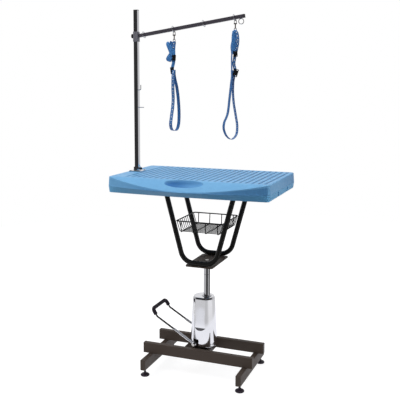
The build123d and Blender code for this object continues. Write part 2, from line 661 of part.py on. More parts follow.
rim = [
    (YOKE_X + RIM_HALF, RIM_Y0, RIM_Z), (YOKE_X + RIM_HALF, RIM_Y1, RIM_Z),
    (YOKE_X - RIM_HALF, RIM_Y1, RIM_Z), (YOKE_X - RIM_HALF, RIM_Y0, RIM_Z),
]
wires = [swept(rim, bend=14, radius=3.5, close=True)]
for x in (YOKE_X - 108, YOKE_X - 37, YOKE_X + 37, YOKE_X + 108):
    wires.append(swept([
        (x, RIM_Y0, RIM_Z), (x, FLOOR_Y0, FLOOR_Z), (x, FLOOR_Y1, FLOOR_Z), (x, RIM_Y1, RIM_Z),
    ], bend=6, radius=2.8))
for i in range(11):
    y = -106 + i * 25.2
    wires.append(swept([
        (YOKE_X - RIM_HALF, y, RIM_Z), (YOKE_X - FLOOR_HALF, y, CROSS_WIRE_Z),
        (YOKE_X + FLOOR_HALF, y, CROSS_WIRE_Z), (YOKE_X + RIM_HALF, y, RIM_Z),
    ], bend=6, radius=2.2))
with BuildPart() as basket:
    for wire in wires:
        add(wire.part)
save(basket, "wire_basket")

# ------------------------------------------------------------------ post
POST_SIZE, POST_T = 25.0, 1.5
POST_Z0, POST_Z1 = 1076.0, 2061.0
SOCKET_SIZE, SOCKET_Z0, SOCKET_RISE = 33.2, 1072, 26  # post socket; rise above the tabletop
PLATE_FLANGE_T = 5
LOCK_R, LOCK_L, LOCK_Z = 3, 8, TOP_Z + 16
SCREW_GAP = 0.15                  # between the post's face and the end of a clamping screw
FLANGE_SCREW_XY = [(POST_X + sx * 28, POST_Y + sy * 34) for sx in SIDES for sy in SIDES]
POST_RIGHT, POST_LEFT = POST_X + POST_SIZE / 2, POST_X - POST_SIZE / 2

with BuildPart() as flange:
    with BuildSketch(Plane.XY.offset(TOP_Z)):
        with Locations((POST_X, POST_Y)):
            RectangleRounded(74, 88, 10)
        with Locations(*FLANGE_SCREW_XY):
            Circle(2.7, mode=Mode.SUBTRACT)
    extrude(amount=PLATE_FLANGE_T)
    with BuildSketch(Plane.XY.offset(SOCKET_Z0)):
        with Locations((POST_X, POST_Y)):
            Rectangle(SOCKET_SIZE, SOCKET_SIZE)
    extrude(amount=TOP_Z - SOCKET_Z0 + SOCKET_RISE)
    with BuildSketch(Plane.XY.offset(SOCKET_Z0)):
        with Locations((POST_X, POST_Y)):
            Rectangle(POST_SIZE + 0.2, POST_SIZE + 0.2)
    extrude(amount=120, mode=Mode.SUBTRACT)
    with BuildSketch(upright(POST_X + 10, POST_Y, LOCK_Z, RIGHT)):
        Circle(LOCK_R + 0.05)
    extrude(amount=12, mode=Mode.SUBTRACT)
save(flange, "post_flange")

with BuildPart() as flange_screws:
    for x, y in FLANGE_SCREW_XY:
        with BuildSketch(Plane(origin=(x, y, TOP_Z + PLATE_FLANGE_T))):
            Circle(5.2)
        extrude(amount=2.6)
save(flange_screws, "flange_screws")

with BuildPart() as lock:
    with BuildSketch(upright(POST_RIGHT + SCREW_GAP, POST_Y, LOCK_Z, RIGHT)):
        Circle(LOCK_R)
    extrude(amount=LOCK_L)
    with BuildSketch(upright(POST_RIGHT + SCREW_GAP + LOCK_L, POST_Y, LOCK_Z, RIGHT)):
        Circle(6.5)
    extrude(amount=7)
save(lock, "post_lock_screw")

with BuildPart() as post:
    with BuildSketch(Plane.XY.offset(POST_Z0)):
        with Locations((POST_X, POST_Y)):
            RectangleRounded(POST_SIZE, POST_SIZE, 2)
            RectangleRounded(POST_SIZE - 2 * POST_T, POST_SIZE - 2 * POST_T, 1, mode=Mode.SUBTRACT)
    extrude(amount=POST_Z1 - POST_Z0)
save(post, "post")


def tube_cap(end, size, corner, plug_corner):
    """Cap on a square tube whose end lies in the given plane, with a plug inside the tube."""
    with BuildPart() as cap:
        with BuildSketch(end):
            RectangleRounded(size, size, corner)
        extrude(amount=3)
        with BuildSketch(end.offset(-12)):
            RectangleRounded(size - 3.4, size - 3.4, plug_corner)
        extrude(amount=12)
    return cap


save(tube_cap(Plane(origin=(POST_X, POST_Y, POST_Z1)), POST_SIZE, 2, 1.4), "post_cap")

# an upturned hook and, below it, a straight peg on the post's right face
upturned = swept([
    (POST_RIGHT, POST_Y, 1614), (POST_RIGHT + 13, POST_Y, 1614), (POST_RIGHT + 13, POST_Y, 1642),
], bend=6, radius=2.5)
with BuildPart() as hooks:
    add(upturned.part)
    with BuildSketch(upright(POST_RIGHT, POST_Y, 1514, RIGHT)):
        Circle(2.5)
    extrude(amount=32)
save(hooks, "post_hooks")

# ------------------------------------------------------------------ clamp and arm
CLAMP_SIZE, CLAMP_Z0, CLAMP_H = 30, 1886, 56
KNOB_Z, KNOB_SCREW_R, KNOB_SCREW_L = 1918, 5, 2.6
ARM_SIZE, ARM_T = 19.0, 1.5
ARM_TILT, ARM_LEN = 8.2, 632.0
ARM_X0 = POST_X + CLAMP_SIZE / 2
ARM_START_Z = 1918.735            # arm axis height where it leaves the clamp
RING_LEAN = radians(ARM_TILT + 9)  # rings lean a little along the arm
RING_R, RING_WIRE_R = 17.6, 2.2
RING_X = [-382.0, -201.0, -20.0, 156.0]
EYE_X, EYE_RING_R, EYE_WIRE_R = 194.0, 14.2, 2.0


def arm_z(x):
    return ARM_START_Z + (x - ARM_X0) * tan(radians(ARM_TILT))


with BuildPart() as clamp:
    with BuildSketch(Plane.XY.offset(CLAMP_Z0)):
        with Locations((POST_X, POST_Y)):
            RectangleRounded(CLAMP_SIZE, CLAMP_SIZE, 3)
            Rectangle(POST_SIZE + 0.2, POST_SIZE + 0.2, mode=Mode.SUBTRACT)
    extrude(amount=CLAMP_H)
    with BuildSketch(upright(POST_X - 25, POST_Y, KNOB_Z, RIGHT)):
        Circle(KNOB_SCREW_R + 0.05)
    extrude(amount=20, mode=Mode.SUBTRACT)
save(clamp, "arm_clamp")

with BuildPart() as knob:
    with BuildSketch(upright(POST_LEFT - SCREW_GAP, POST_Y, KNOB_Z, LEFT)):
        Circle(KNOB_SCREW_R)
    extrude(amount=KNOB_SCREW_L)
    with BuildSketch(upright(POST_LEFT - SCREW_GAP - KNOB_SCREW_L, POST_Y, KNOB_Z, LEFT)):
        Circle(12)
    extrude(amount=12)
save(knob, "clamp_knob")

arm_along = (cos(radians(ARM_TILT)), 0, sin(radians(ARM_TILT)))
arm_start = upright(ARM_X0, POST_Y, ARM_START_Z, arm_along)
with BuildPart() as arm:
    with BuildSketch(arm_start.offset(-10)):
        RectangleRounded(ARM_SIZE, ARM_SIZE, 1.5)
        RectangleRounded(ARM_SIZE - 2 * ARM_T, ARM_SIZE - 2 * ARM_T, 0.8, mode=Mode.SUBTRACT)
    extrude(amount=ARM_LEN + 10)
    # flush with the clamp's face
    with BuildSketch(upright(ARM_X0, POST_Y, ARM_START_Z, LEFT)):
        Rectangle(60, 60)
    extrude(amount=40, mode=Mode.SUBTRACT)
save(arm, "arm")
save(tube_cap(arm_start.offset(ARM_LEN), ARM_SIZE, 1.5, 1.2), "arm_end_cap")

with BuildPart() as rings:
    for x in RING_X:
        centre = (x, POST_Y, arm_z(x))
        across = Vector(-sin(RING_LEAN), 0, cos(RING_LEAN))
        with BuildSketch(Plane(origin=centre, x_dir=across, z_dir=(0, 1, 0))):
            with Locations((RING_R, 0)):
                Circle(RING_WIRE_R)
        revolve(axis=Axis(centre, (cos(RING_LEAN), 0, sin(RING_LEAN))))
    # free eye under the arm's end
    eye_z = arm_z(EYE_X) - (ARM_SIZE / 2 + 16.25) / cos(radians(ARM_TILT))
    with BuildSketch(Plane(origin=(EYE_X, POST_Y, eye_z))):
        with Locations((EYE_RING_R, 0)):
            Circle(EYE_WIRE_R)
    revolve(axis=Axis((EYE_X, POST_Y, eye_z), (0, 1, 0)))
save(rings, "arm_rings")

# ------------------------------------------------------------------ nooses
HOOK_R, HOOK_WIRE_R = 6.0, 1.8    # crown of the snap hook
BODY_DROP, LUG_DROP = 13.5, 35.6  # below the crown's centre: middle of the body, lug's eye
LUG_T = 4.4
LINK_R, LINK_WIRE_R = 6.4, 1.7    # round ring through the lug
STRAP_HALF, STRAP_T = 8, 4        # webbing: half width, thickness
STRAP_BOTTOM, SLIDER_Z = 1655, 1712


def snap_hook(x, z):
    """Snap hook with the centre of its crown at x, z."""
    body_z = z - BODY_DROP
    with BuildPart() as hook:
        # crown: right side up, over the top, down to the nose on the left
        with BuildLine() as path:
            right, left = x + HOOK_R, x - HOOK_R
            Line((right, POST_Y, z - 12), (right, POST_Y, z))
            ThreePointArc((right, POST_Y, z), (x, POST_Y, z + HOOK_R), (left, POST_Y, z))
            Line((left, POST_Y, z), (left, POST_Y, z - 1.6))
        with BuildSketch(Plane(origin=path.line @ 0, z_dir=path.line % 0)):
            Circle(HOOK_WIRE_R)
        sweep()
        # body with a slot and a pin for the gate, round barrel, and a lug with an eye
        with BuildSketch(upright(x, POST_Y + 3, body_z)):
            RectangleRounded(16, 6, 1.5)
        extrude(amount=6)
        with BuildSketch(upright(x, POST_Y + 1.4, body_z)):
            with Locations((-HOOK_R, 0)):
                Rectangle(6, 8)
        extrude(amount=2.8, mode=Mode.SUBTRACT)
        with BuildSketch(upright(x - HOOK_R, POST_Y + 2.9, body_z)):
            Circle(0.8)
        extrude(amount=5.8)
        with BuildSketch(Plane(origin=(x, POST_Y, z - 32.5))):
            Circle(3.2)
        extrude(amount=17)
        with BuildSketch(upright(x - LUG_T / 2, POST_Y, z - LUG_DROP, RIGHT)):
            Circle(4.6)
            Circle(2.2, mode=Mode.SUBTRACT)
        extrude(amount=LUG_T)
    return hook


def spring_gate(x, z):
    """Gate closing the hook's mouth on the left, turning on the pin at x, z."""
    with BuildPart() as gate:
        with BuildSketch(upright(x, POST_Y + 1.25, z)):
            Circle(1.9)
            with Locations((0, 5.6)):
                Rectangle(2.4, 11.2)
            Circle(0.85, mode=Mode.SUBTRACT)
        extrude(amount=2.5)
    return gate


def link_ring(x, z):
    with BuildPart() as link:
        with BuildSketch(Plane(origin=(x, POST_Y, z))):
            with Locations((LINK_R, 0)):
                Circle(LINK_WIRE_R)
        revolve(axis=Axis((x, POST_Y, z), (0, 1, 0)))
    return link


def webbing(top_x, top_z, strap_x, loop_x, loop_w, loop_bottom, turn):
    """Folded strap and a loop, as one plain solid."""
    centre_line = [  # x, z
        (top_x, top_z), (strap_x, top_z - 40), (strap_x, STRAP_BOTTOM + 35), (loop_x, STRAP_BOTTOM),
    ]
    with BuildPart() as strap:
        with BuildSketch(upright(0, POST_Y + STRAP_T / 2, 0)):
            with BuildLine():
                Polyline(
                    *[(x + STRAP_HALF, z) for x, z in centre_line],
                    *[(x - STRAP_HALF, z) for x, z in reversed(centre_line)],
                    close=True,
                )
            make_face()
        extrude(amount=STRAP_T)
        # the loop hangs turned about its own axis, so its width is along (cos_t, sin_t)
        cos_t, sin_t = cos(radians(turn)), sin(radians(turn))
        with BuildSketch(Plane(
            origin=(loop_x - STRAP_HALF * sin_t, POST_Y + STRAP_HALF * cos_t, 0),
            x_dir=(cos_t, sin_t, 0), z_dir=(sin_t, -cos_t, 0),
        )):
            half_h = (STRAP_BOTTOM - loop_bottom) / 2
            with Locations((0, (STRAP_BOTTOM + loop_bottom) / 2)):
                Ellipse(loop_w / 2, half_h + 3)
                Ellipse(loop_w / 2 - 5, half_h - 3, mode=Mode.SUBTRACT)
        extrude(amount=2 * STRAP_HALF)
    return strap


def strap_slider(x):
    with BuildPart() as slider:
        with BuildSketch(Plane.XY.offset(SLIDER_Z)):
            with Locations((x, POST_Y)):
                RectangleRounded(24, 11, 3)
                Rectangle(2 * STRAP_HALF + 0.4, STRAP_T + 0.4, mode=Mode.SUBTRACT)
        extrude(amount=14)
    return slider


def noose(tag, ring_x, strap_x, loop_x, loop_w, loop_bottom, turn):
    """Snap hook on the ring's lower wire, with all that hangs from it."""
    x = ring_x + RING_R * sin(RING_LEAN)
    hook_z = arm_z(ring_x) - RING_R * cos(RING_LEAN) - 1.7
    link_z = hook_z - LUG_DROP - LINK_R
    save(snap_hook(x, hook_z), f"{tag}_snap_hook")
    save(spring_gate(x - HOOK_R, hook_z - BODY_DROP), f"{tag}_gate")
    save(link_ring(x, link_z), f"{tag}_ring")
    strap = webbing(x, link_z - 8.3, strap_x, loop_x, loop_w, loop_bottom, turn)
    save(strap, f"{tag}_strap")
    save(strap_slider(strap_x), f"{tag}_slider")


noose(
    "noose_left", RING_X[1], strap_x=-203.0, loop_x=-191.0, loop_w=96.0, loop_bottom=1385, turn=85
)
noose(
    "noose_right", RING_X[3], strap_x=156.0, loop_x=140.0, loop_w=78.0, loop_bottom=1350, turn=56
)
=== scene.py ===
"""A height-adjustable bowed table on a single column, with a pump at its foot and two webbing nooses.

The column stands upright along Z on the floor at z = 0. The front, with the bowed edge of
the tabletop, faces -Y and the left side lies at -X. Shapes are drawn in millimetres about the
column's axis, then moved to where the CAD column stands. Lights and camera are in metres.
"""
import json
import math
import random

import bpy
import bmesh
from mathutils import Matrix, Vector, noise


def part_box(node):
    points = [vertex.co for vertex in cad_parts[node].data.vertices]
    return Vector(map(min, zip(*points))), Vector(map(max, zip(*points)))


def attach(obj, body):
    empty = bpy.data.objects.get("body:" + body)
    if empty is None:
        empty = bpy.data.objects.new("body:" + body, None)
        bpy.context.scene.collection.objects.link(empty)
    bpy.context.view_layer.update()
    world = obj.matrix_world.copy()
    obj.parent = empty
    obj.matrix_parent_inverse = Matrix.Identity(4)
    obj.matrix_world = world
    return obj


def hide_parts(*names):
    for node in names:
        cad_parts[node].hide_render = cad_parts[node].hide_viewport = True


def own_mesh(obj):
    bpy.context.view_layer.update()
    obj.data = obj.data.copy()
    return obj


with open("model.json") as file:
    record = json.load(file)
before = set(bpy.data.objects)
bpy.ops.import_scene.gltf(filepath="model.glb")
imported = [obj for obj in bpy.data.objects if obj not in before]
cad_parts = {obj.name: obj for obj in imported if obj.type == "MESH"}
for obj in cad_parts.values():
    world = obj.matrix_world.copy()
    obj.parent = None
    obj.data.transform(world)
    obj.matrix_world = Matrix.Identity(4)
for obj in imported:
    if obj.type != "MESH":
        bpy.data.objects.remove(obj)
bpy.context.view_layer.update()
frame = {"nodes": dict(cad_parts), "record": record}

NODES = frame["nodes"]
SLOT = {part["node"]: part["material_slot"] for part in frame["record"]["subparts"]}
MM = 0.001
random.seed(7)

rod_low, rod_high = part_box("piston_rod")
AXIS = Vector(((rod_low[0] + rod_high[0]) / 2, (rod_low[1] + rod_high[1]) / 2, 0.0))
TO_AXIS = Matrix.Translation(AXIS)


# ------------------------------------------------------------------ shader nodes
def srgb(*levels):
    """Linear colour from 0..255 display levels."""
    def linear(level):
        level /= 255.0
        return level / 12.92 if level <= 0.04045 else ((level + 0.055) / 1.055) ** 2.4
    return tuple(linear(level) for level in levels) + (1.0,)


def shade(colour, factor):
    return tuple(min(1, channel * factor) for channel in colour[:3]) + (1,)


class Nodes:
    """Short calls for building a node tree; a value may be a number, a colour or a socket."""

    def __init__(self, tree):
        self.tree = tree

    def add(self, kind, **settings):
        node = self.tree.nodes.new(kind)
        for key, value in settings.items():
            setattr(node, key, value)
        return node

    def link(self, output, socket):
        self.tree.links.new(output, socket)

    def feed(self, socket, value):
        if hasattr(value, "links"):
            self.link(value, socket)
        else:
            socket.default_value = value

    def coords(self, scale=(1, 1, 1), source="Object"):
        texture = self.add("ShaderNodeTexCoord")
        mapping = self.add("ShaderNodeMapping")
        mapping.inputs["Scale"].default_value = scale
        self.link(texture.outputs[source], mapping.inputs["Vector"])
        return mapping.outputs["Vector"]

    def split(self, vector):
        node = self.add("ShaderNodeSeparateXYZ")
        self.link(vector, node.inputs[0])
        return node.outputs

    def noise(self, vector, scale, detail, roughness=0.55):
        node = self.add("ShaderNodeTexNoise")
        node.inputs["Scale"].default_value = scale
        node.inputs["Detail"].default_value = detail
        node.inputs["Roughness"].default_value = roughness
        self.link(vector, node.inputs["Vector"])
        return node.outputs["Fac"]

    def ramp(self, fac, stops):
        """stops: (position, colour)."""
        node = self.add("ShaderNodeValToRGB")
        band = node.color_ramp
        while len(band.elements) < len(stops):
            band.elements.new(0.5)
        for element, (position, colour) in zip(band.elements, stops):
            element.position = position
            element.color = colour
        self.link(fac, node.inputs["Fac"])
        return node.outputs["Color"]

    def remap(self, value, start, end, low=0.0, high=1.0):
        """Clamped straight line from low at start to high at end."""
        node = self.add("ShaderNodeMapRange")
        for key, number in (("From Min", start), ("From Max", end), ("To Min", low), ("To Max", high)):
            node.inputs[key].default_value = number
        self.link(value, node.inputs["Value"])
        return node.outputs["Result"]

    def calc(self, operation, *values):
        node = self.add("ShaderNodeMath", operation=operation)
        for i, value in enumerate(values):
            self.feed(node.inputs[i], value)
        return node.outputs[0]

    def ellipse(self, x, y, half_x, half_y):
        """Squared distance from an ellipse's centre, 1 on its outline."""
        return self.calc("ADD",
                         self.calc("POWER", self.calc("DIVIDE", x, half_x), 2.0),
                         self.calc("POWER", self.calc("DIVIDE", y, half_y), 2.0))

    def mix(self, fac, first, second):
        node = self.add("ShaderNodeMix", data_type="RGBA")
        # 0, 6 and 7 are the factor and the two colours
        for index, value in ((0, fac), (6, first), (7, second)):
            self.feed(node.inputs[index], value)
        return node.outputs[2]

    def bump(self, height, strength, distance, after=None):
        node = self.add("ShaderNodeBump")
        node.inputs["Strength"].default_value = strength
        node.inputs["Distance"].default_value = distance
        self.link(height, node.inputs["Height"])
        if after is not None:
            self.link(after, node.inputs["Normal"])
        return node.outputs["Normal"]

    def mix_shader(self, fac, first, second):
        node = self.add("ShaderNodeMixShader")
        for i, output in enumerate((fac, first, second)):
            self.link(output, node.inputs[i])
        return node.outputs[0]

    def source(self, kind, colour, strength=1.0):
        """Emission or background shader."""
        node = self.add(kind)
        self.feed(node.inputs["Color"], colour)
        node.inputs["Strength"].default_value = strength
        return node.outputs[0]


class Material(Nodes):
    def __init__(self, name):
        self.material = bpy.data.materials.new(name)
        self.material.use_nodes = True
        super().__init__(self.material.node_tree)
        self.principled = self.tree.nodes["Principled BSDF"]

    def surface(self, inputs):
        for key, value in inputs.items():
            self.feed(self.principled.inputs[key], value)
        return self.material


# ------------------------------------------------------------------ materials
def paint(name, rgb, rough, grain, strength, distance, vary, specular):
    """Powder coat or moulded plastic: mottled colour, fine orange peel, painted highlights on sharp
    edges.
    """
    colour = srgb(*rgb)
    m = Material(name)
    place = m.coords()
    mottle = m.noise(place, scale=9, detail=3)
    peel = m.noise(place, scale=grain, detail=2, roughness=0.6)
    base = m.ramp(mottle, [(0.3, shade(colour, 1 - vary)), (0.7, shade(colour, 1 + vary))])
    geometry = m.add("ShaderNodeNewGeometry")
    # painted highlight: sharp convex edges are lightened towards a paler copy of the colour
    edge_highlight = m.remap(geometry.outputs["Pointiness"], start=0.52, end=0.62, high=0.35)
    return m.surface({
        "Base Color": m.mix(edge_highlight, base, shade(colour, 1.6)),
        "Roughness": m.remap(mottle, start=0.3, end=0.7, low=rough - 0.06, high=rough + 0.08),
        "Specular IOR Level": specular,
        "Coat Weight": 0.0,
        "Coat Roughness": 0.2,
        "Normal": m.bump(peel, strength=strength, distance=distance)})


def metal(name, colour, rough, vary=0.05, strength=0.05, stretch=(1, 1, 1), smear_scale=14):
    """Plated or machined metal: faint smears in the gloss, stretched where it is brushed."""
    m = Material(name)
    place = m.coords(stretch)
    smear = m.noise(place, scale=smear_scale, detail=5, roughness=0.6)
    fine = m.noise(place, scale=300, detail=3)
    return m.surface({
        "Base Color": m.ramp(smear, [(0.3, shade(colour, 0.94)), (0.7, shade(colour, 1.03))]),
        "Metallic": 1.0,
        "Roughness": m.remap(smear, start=0.3, end=0.7, low=max(0.02, rough - vary),
                             high=rough + vary),
        "Normal": m.bump(fine, strength=strength, distance=0.0001)})


def blue_top():
    """Moulded blue plastic, with painted shade where the mesh attributes mark the grooves, the dish
    and the side walls.
    """
    m = Material("moulded_blue")
    place = m.coords()
    broad = m.noise(place, scale=5, detail=3)
    middle = m.noise(place, scale=60, detail=4)
    fine = m.noise(place, scale=1400, detail=2, roughness=0.6)

    def tint(base, attribute, amount, colour):
        node = m.add("ShaderNodeAttribute", attribute_name=attribute)
        return m.mix(m.calc("MULTIPLY", node.outputs["Fac"], amount), base, colour)

    colour = m.ramp(broad, [(0.3, srgb(120, 184, 233)), (0.7, srgb(128, 191, 238))])
    # painted shade in the grooves, darkest at their bottoms
    colour = tint(colour, "groove", amount=0.80, colour=srgb(50, 104, 156))
    # painted shade in the dish, growing with its depth and stronger on its left
    colour = tint(colour, "sunk", amount=0.74, colour=srgb(52, 118, 184))
    colour = m.mix(m.remap(middle, start=0.35, end=0.65, high=0.10), colour, srgb(80, 142, 198))
    colour = tint(colour, "wall", amount=0.62, colour=srgb(40, 104, 166))
    # the undercut below the belt picks up pale floor light
    height = m.split(place)["Z"]
    undercut = m.remap(height, start=1.0905, end=1.0925, low=0.45, high=0.0)
    colour = m.mix(undercut, colour, srgb(120, 204, 255))
    return m.surface({
        "Base Color": colour,
        "Roughness": m.remap(middle, start=0.3, end=0.7, low=0.36, high=0.50),
        "Specular IOR Level": 0.22,
        "Coat Weight": 0.0,
        "Coat Roughness": 0.3,
        "Normal": m.bump(middle, strength=0.12, distance=0.0012,
                         after=m.bump(fine, strength=0.3, distance=0.0003))})


WEAVE_ALONG, WEAVE_ACROSS = 0.0022, 0.0016      # thread spacing, metres
MARK_PITCH = 0.021                              # printed marks along the strap, metres


def printed_marks(m, place, along, across):
    """Mask of pale rounded marks down the strap, with small ones between."""
    step = m.calc("FRACT", m.calc("DIVIDE", along, MARK_PITCH))
    from_mark = m.calc("ABSOLUTE", m.calc("SUBTRACT", step, 0.5))
    off_middle = m.calc("ABSOLUTE", across)
    large = m.ellipse(from_mark, off_middle, half_x=0.20, half_y=0.0034)
    speckle = m.noise(place, scale=150, detail=2)
    wobble = m.calc("MULTIPLY", m.calc("SUBTRACT", speckle, 0.5), 3.0)
    large = m.remap(m.calc("ADD", large, wobble), start=0.75, end=1.0, low=1.0, high=0.0)
    from_gap = m.calc("SUBTRACT", 0.5, from_mark)
    off_line = m.calc("SUBTRACT", off_middle, 0.0045)
    small = m.ellipse(from_gap, off_line, half_x=0.07, half_y=0.0015)
    small = m.remap(small, start=0.75, end=1.0, low=1.0, high=0.0)
    return m.calc("MAXIMUM", large, small)


def webbing(name, light, dark, printed=False):
    """Woven strap; U runs along it and V across it, both in metres."""
    m = Material(name)
    place = m.coords(source="UV")
    axes = m.split(place)
    along, across = axes["X"], axes["Y"]
    warp = m.calc("SINE", m.calc("MULTIPLY", along, 2 * math.pi / WEAVE_ALONG))
    weft = m.calc("SINE", m.calc("MULTIPLY", across, 2 * math.pi / WEAVE_ACROSS))
    weave = m.calc("MULTIPLY", warp, weft)
    height = m.remap(weave, start=-1, end=1)
    mottle = m.noise(place, scale=90, detail=3)
    colour = m.mix(m.remap(mottle, start=0.3, end=0.7), dark, light)
    colour = m.mix(m.remap(weave, start=-1, end=1, high=0.25), colour, shade(dark, 0.7))
    if printed:
        colour = m.mix(printed_marks(m, place, along, across), colour, srgb(222, 230, 240))
    return m.surface({
        "Base Color": colour,
        "Roughness": 0.75,
        "Specular IOR Level": 0.3,
        "Sheen Weight": 0.25,
        "Normal": m.bump(height, strength=0.55, distance=0.0006)})


# slot: material name, display colour, roughness, grain scale, bump strength, bump distance,
#       colour variation, specular level
PAINTS = {
    "tube_dark": ("powder_brown_grey", (78, 68, 61), 0.5, 1100, 0.35, 0.0004, 0.08, 0.22),
    "tube_black": ("powder_black", (27, 26, 24), 0.38, 1200, 0.3, 0.0004, 0.12, 0.4),
    "cast_dark": ("cast_iron_painted", (56, 46, 41), 0.45, 420, 0.6, 0.0009, 0.15, 0.4),
    "cap_plastic": ("cap_plastic", (30, 28, 28), 0.5, 1500, 0.3, 0.0003, 0.08, 0.35),
    "foot_plastic": ("foot_plastic", (50, 40, 52), 0.5, 1300, 0.3, 0.0003, 0.1, 0.4),
    "arm_black": ("arm_black", (74, 70, 78), 0.4, 1200, 0.3, 0.0003, 0.1, 0.45),
    "clamp_grey": ("clamp_grey", (120, 120, 128), 0.35, 500, 0.5, 0.0006, 0.1, 0.5),
    "knob_black": ("knob_black", (22, 21, 22), 0.45, 1500, 0.3, 0.0003, 0.1, 0.4),
    "basket_black": ("basket_black", (30, 29, 28), 0.4, 2000, 0.2, 0.0002, 0.1, 0.4),
    "seal_rubber": ("black_rubber", (44, 36, 46), 0.7, 700, 0.6, 0.0006, 0.12, 0.25),
}
MATERIALS = {slot: paint(*row) for slot, row in PAINTS.items()}
MATERIALS["chrome"] = metal("chrome", (0.82, 0.82, 0.84), rough=0.06)
MATERIALS["steel"] = metal("machined_steel", (0.52, 0.52, 0.54), rough=0.24, vary=0.06,
                           strength=0.15, stretch=(1, 1, 12), smear_scale=60)
MATERIALS["zinc"] = metal("zinc_plate", (0.60, 0.59, 0.56), rough=0.3, vary=0.08, strength=0.2)
MATERIALS["top_blue"] = blue_top()
WEB_PLAIN = webbing("webbing_plain", light=srgb(96, 166, 234), dark=srgb(64, 132, 206))
WEB_DARK = webbing("webbing_inner", light=srgb(68, 126, 188), dark=srgb(46, 98, 160))
WEB_PRINT = webbing("webbing_print", light=srgb(72, 136, 204), dark=srgb(44, 100, 166),
                    printed=True)
MATERIALS["webbing_blue"] = WEB_PLAIN


# ------------------------------------------------------------------ mesh helpers
def link_object(name, mesh):
    obj = bpy.data.objects.new(name, mesh)
    bpy.context.scene.collection.objects.link(obj)
    return obj


def smooth_all(mesh):
    mesh.polygons.foreach_set("use_smooth", [True] * len(mesh.polygons))


def mesh_object(name, verts, faces, material):
    """Smooth-shaded object from points in mm."""
    mesh = bpy.data.meshes.new(name)
    mesh.from_pydata([tuple(Vector(v) * MM) for v in verts], [], faces)
    mesh.materials.append(material)
    smooth_all(mesh)
    mesh.transform(TO_AXIS)
    mesh.validate()
    mesh.update()
    return link_object(name, mesh)


def bevel(obj, width, segments=2, angle=40):
    modifier = obj.modifiers.new("bevel", "BEVEL")
    modifier.width = width
    modifier.segments = segments
    modifier.limit_method = "ANGLE"
    modifier.angle_limit = math.radians(angle)
    modifier.harden_normals = False


def catmull(points, steps=12):
    """Smooth path through points of any dimension, as tuples."""
    def beyond(end, neighbour):
        return tuple(2 * a - b for a, b in zip(end, neighbour))

    padded = [beyond(points[0], points[1]), *points, beyond(points[-1], points[-2])]
    path = []
    for i in range(1, len(padded) - 2):
        for k in range(steps):
            t = k / steps
            path.append(tuple(
                0.5 * (2 * b + (c - a) * t + (2 * a - 5 * b + 4 * c - d) * t * t
                       + (3 * b - a - 3 * c + d) * t ** 3)
                for a, b, c, d in zip(*padded[i - 1:i + 3])))
    path.append(padded[-2])
    return path


def smooth_step(start, end, x):
    t = max(0.0, min(1.0, (x - start) / (end - start)))
    return t * t * (3 - 2 * t)


# ------------------------------------------------------------------ tabletop, mm
TOP_X, TOP_Y = -20.0, -7.0              # centre in plan
TOP_WIDTH, TOP_DEPTH = 900.0, 550.0     # depth without the bow
TOP_Z, BELT_Z, BOTTOM_Z = 1144.0, 1093.0, 1057.0
LEFT, RIGHT = TOP_X - TOP_WIDTH / 2, TOP_X + TOP_WIDTH / 2
FRONT, BACK = TOP_Y - TOP_DEPTH / 2, TOP_Y + TOP_DEPTH / 2
SLOPE_Y = FRONT + 23.0                  # in front of this line the top slopes down
SLOPE_DROP, SLOPE_POWER = 46.0, 1.62
CORNER = 17.0
BOW_DEPTH, BOW_POWER = 80.0, 1.87       # how far the front bulges, and its curve
LOW_BOW = 16.0                          # bulge left at the bottom edge

GROOVES, GROOVE_PITCH = 24, 34.1
GROOVE_X = TOP_X - 360.0                # first groove
GROOVE_HALF, GROOVE_DEEP = 7.0, 3.0
GROOVE_FRONT, GROOVE_BACK = SLOPE_Y + 4, BACK - 13

# dish: the part of a tilted ellipsoid that lies below the skin
DISH_Y, DISH_Z = FRONT - 23.0, TOP_Z - 11.5
DISH_HALF = (109.0, 38.0, 30.0)
DISH_TILT = math.radians(24)
DISH_REACH = 118                        # the dish is only looked for this far either side
DISH_LIP = 1.6                          # rounding where it meets the skin

BELT_LIP = 1.6                          # height of the belt's lower lip
BELT_OUT, LIP_OUT = 8.6, 8.2            # how far belt and lip stand out from the top's outline
BOTTOM_OUT = 3.8
WALL = 9.0                              # least gap from ends and back to the cavity
CAVITY_FRONT, CAVITY_TOP = -245.0, 1137

# x offsets of mesh columns from a groove's centre
GROOVE_COLUMNS = (-GROOVE_PITCH / 2, -12, -9, -7.6, -6.9, -6.1, -5.2, -4.3, -2.2,
                  0, 2.2, 4.3, 5.2, 6.1, 6.9, 7.6, 9, 12)
FRONT_ROWS, MIDDLE_ROWS = 48, 14
# y offsets of mesh rows behind the slope line, and in front of the back edge
ROWS_BEHIND_SLOPE = (0, 1.5, 3, 4, 4.8, 5.8, 7, 9, 11.5, 16)
ROWS_BEFORE_BACK = (22, 20, 18, 16, 14.8, 13.8, 13, 11.5, 8, 4)


def bow(x):
    """Bulge of the front, 1 in the middle and 0 at the ends."""
    return 1 - min(1.0, abs((x - TOP_X) / (TOP_WIDTH / 2))) ** BOW_POWER


def front_edge(x):
    return FRONT - BOW_DEPTH * bow(x)


def groove_at(x, y):
    """0 on a rib, 1 in the bottom of a groove."""
    i = round((x - GROOVE_X) / GROOVE_PITCH)
    if i < 0 or i >= GROOVES:
        return 0.0
    off_line = abs(x - (GROOVE_X + i * GROOVE_PITCH))
    past_end = max(GROOVE_FRONT + GROOVE_HALF - y, y - (GROOVE_BACK - GROOVE_HALF), 0.0)
    return smooth_step(-0.4, 2.4, GROOVE_HALF - math.hypot(off_line, past_end))


def slope_z(x, y):
    """Top without grooves or dish: flat, then falling towards the bowed front."""
    t = max(0.0, (SLOPE_Y - y) / (SLOPE_Y - front_edge(x)))
    return TOP_Z - SLOPE_DROP * bow(x) * t ** SLOPE_POWER


def near_dish(x, y):
    return abs(x - TOP_X) < DISH_REACH and y < SLOPE_Y + 8


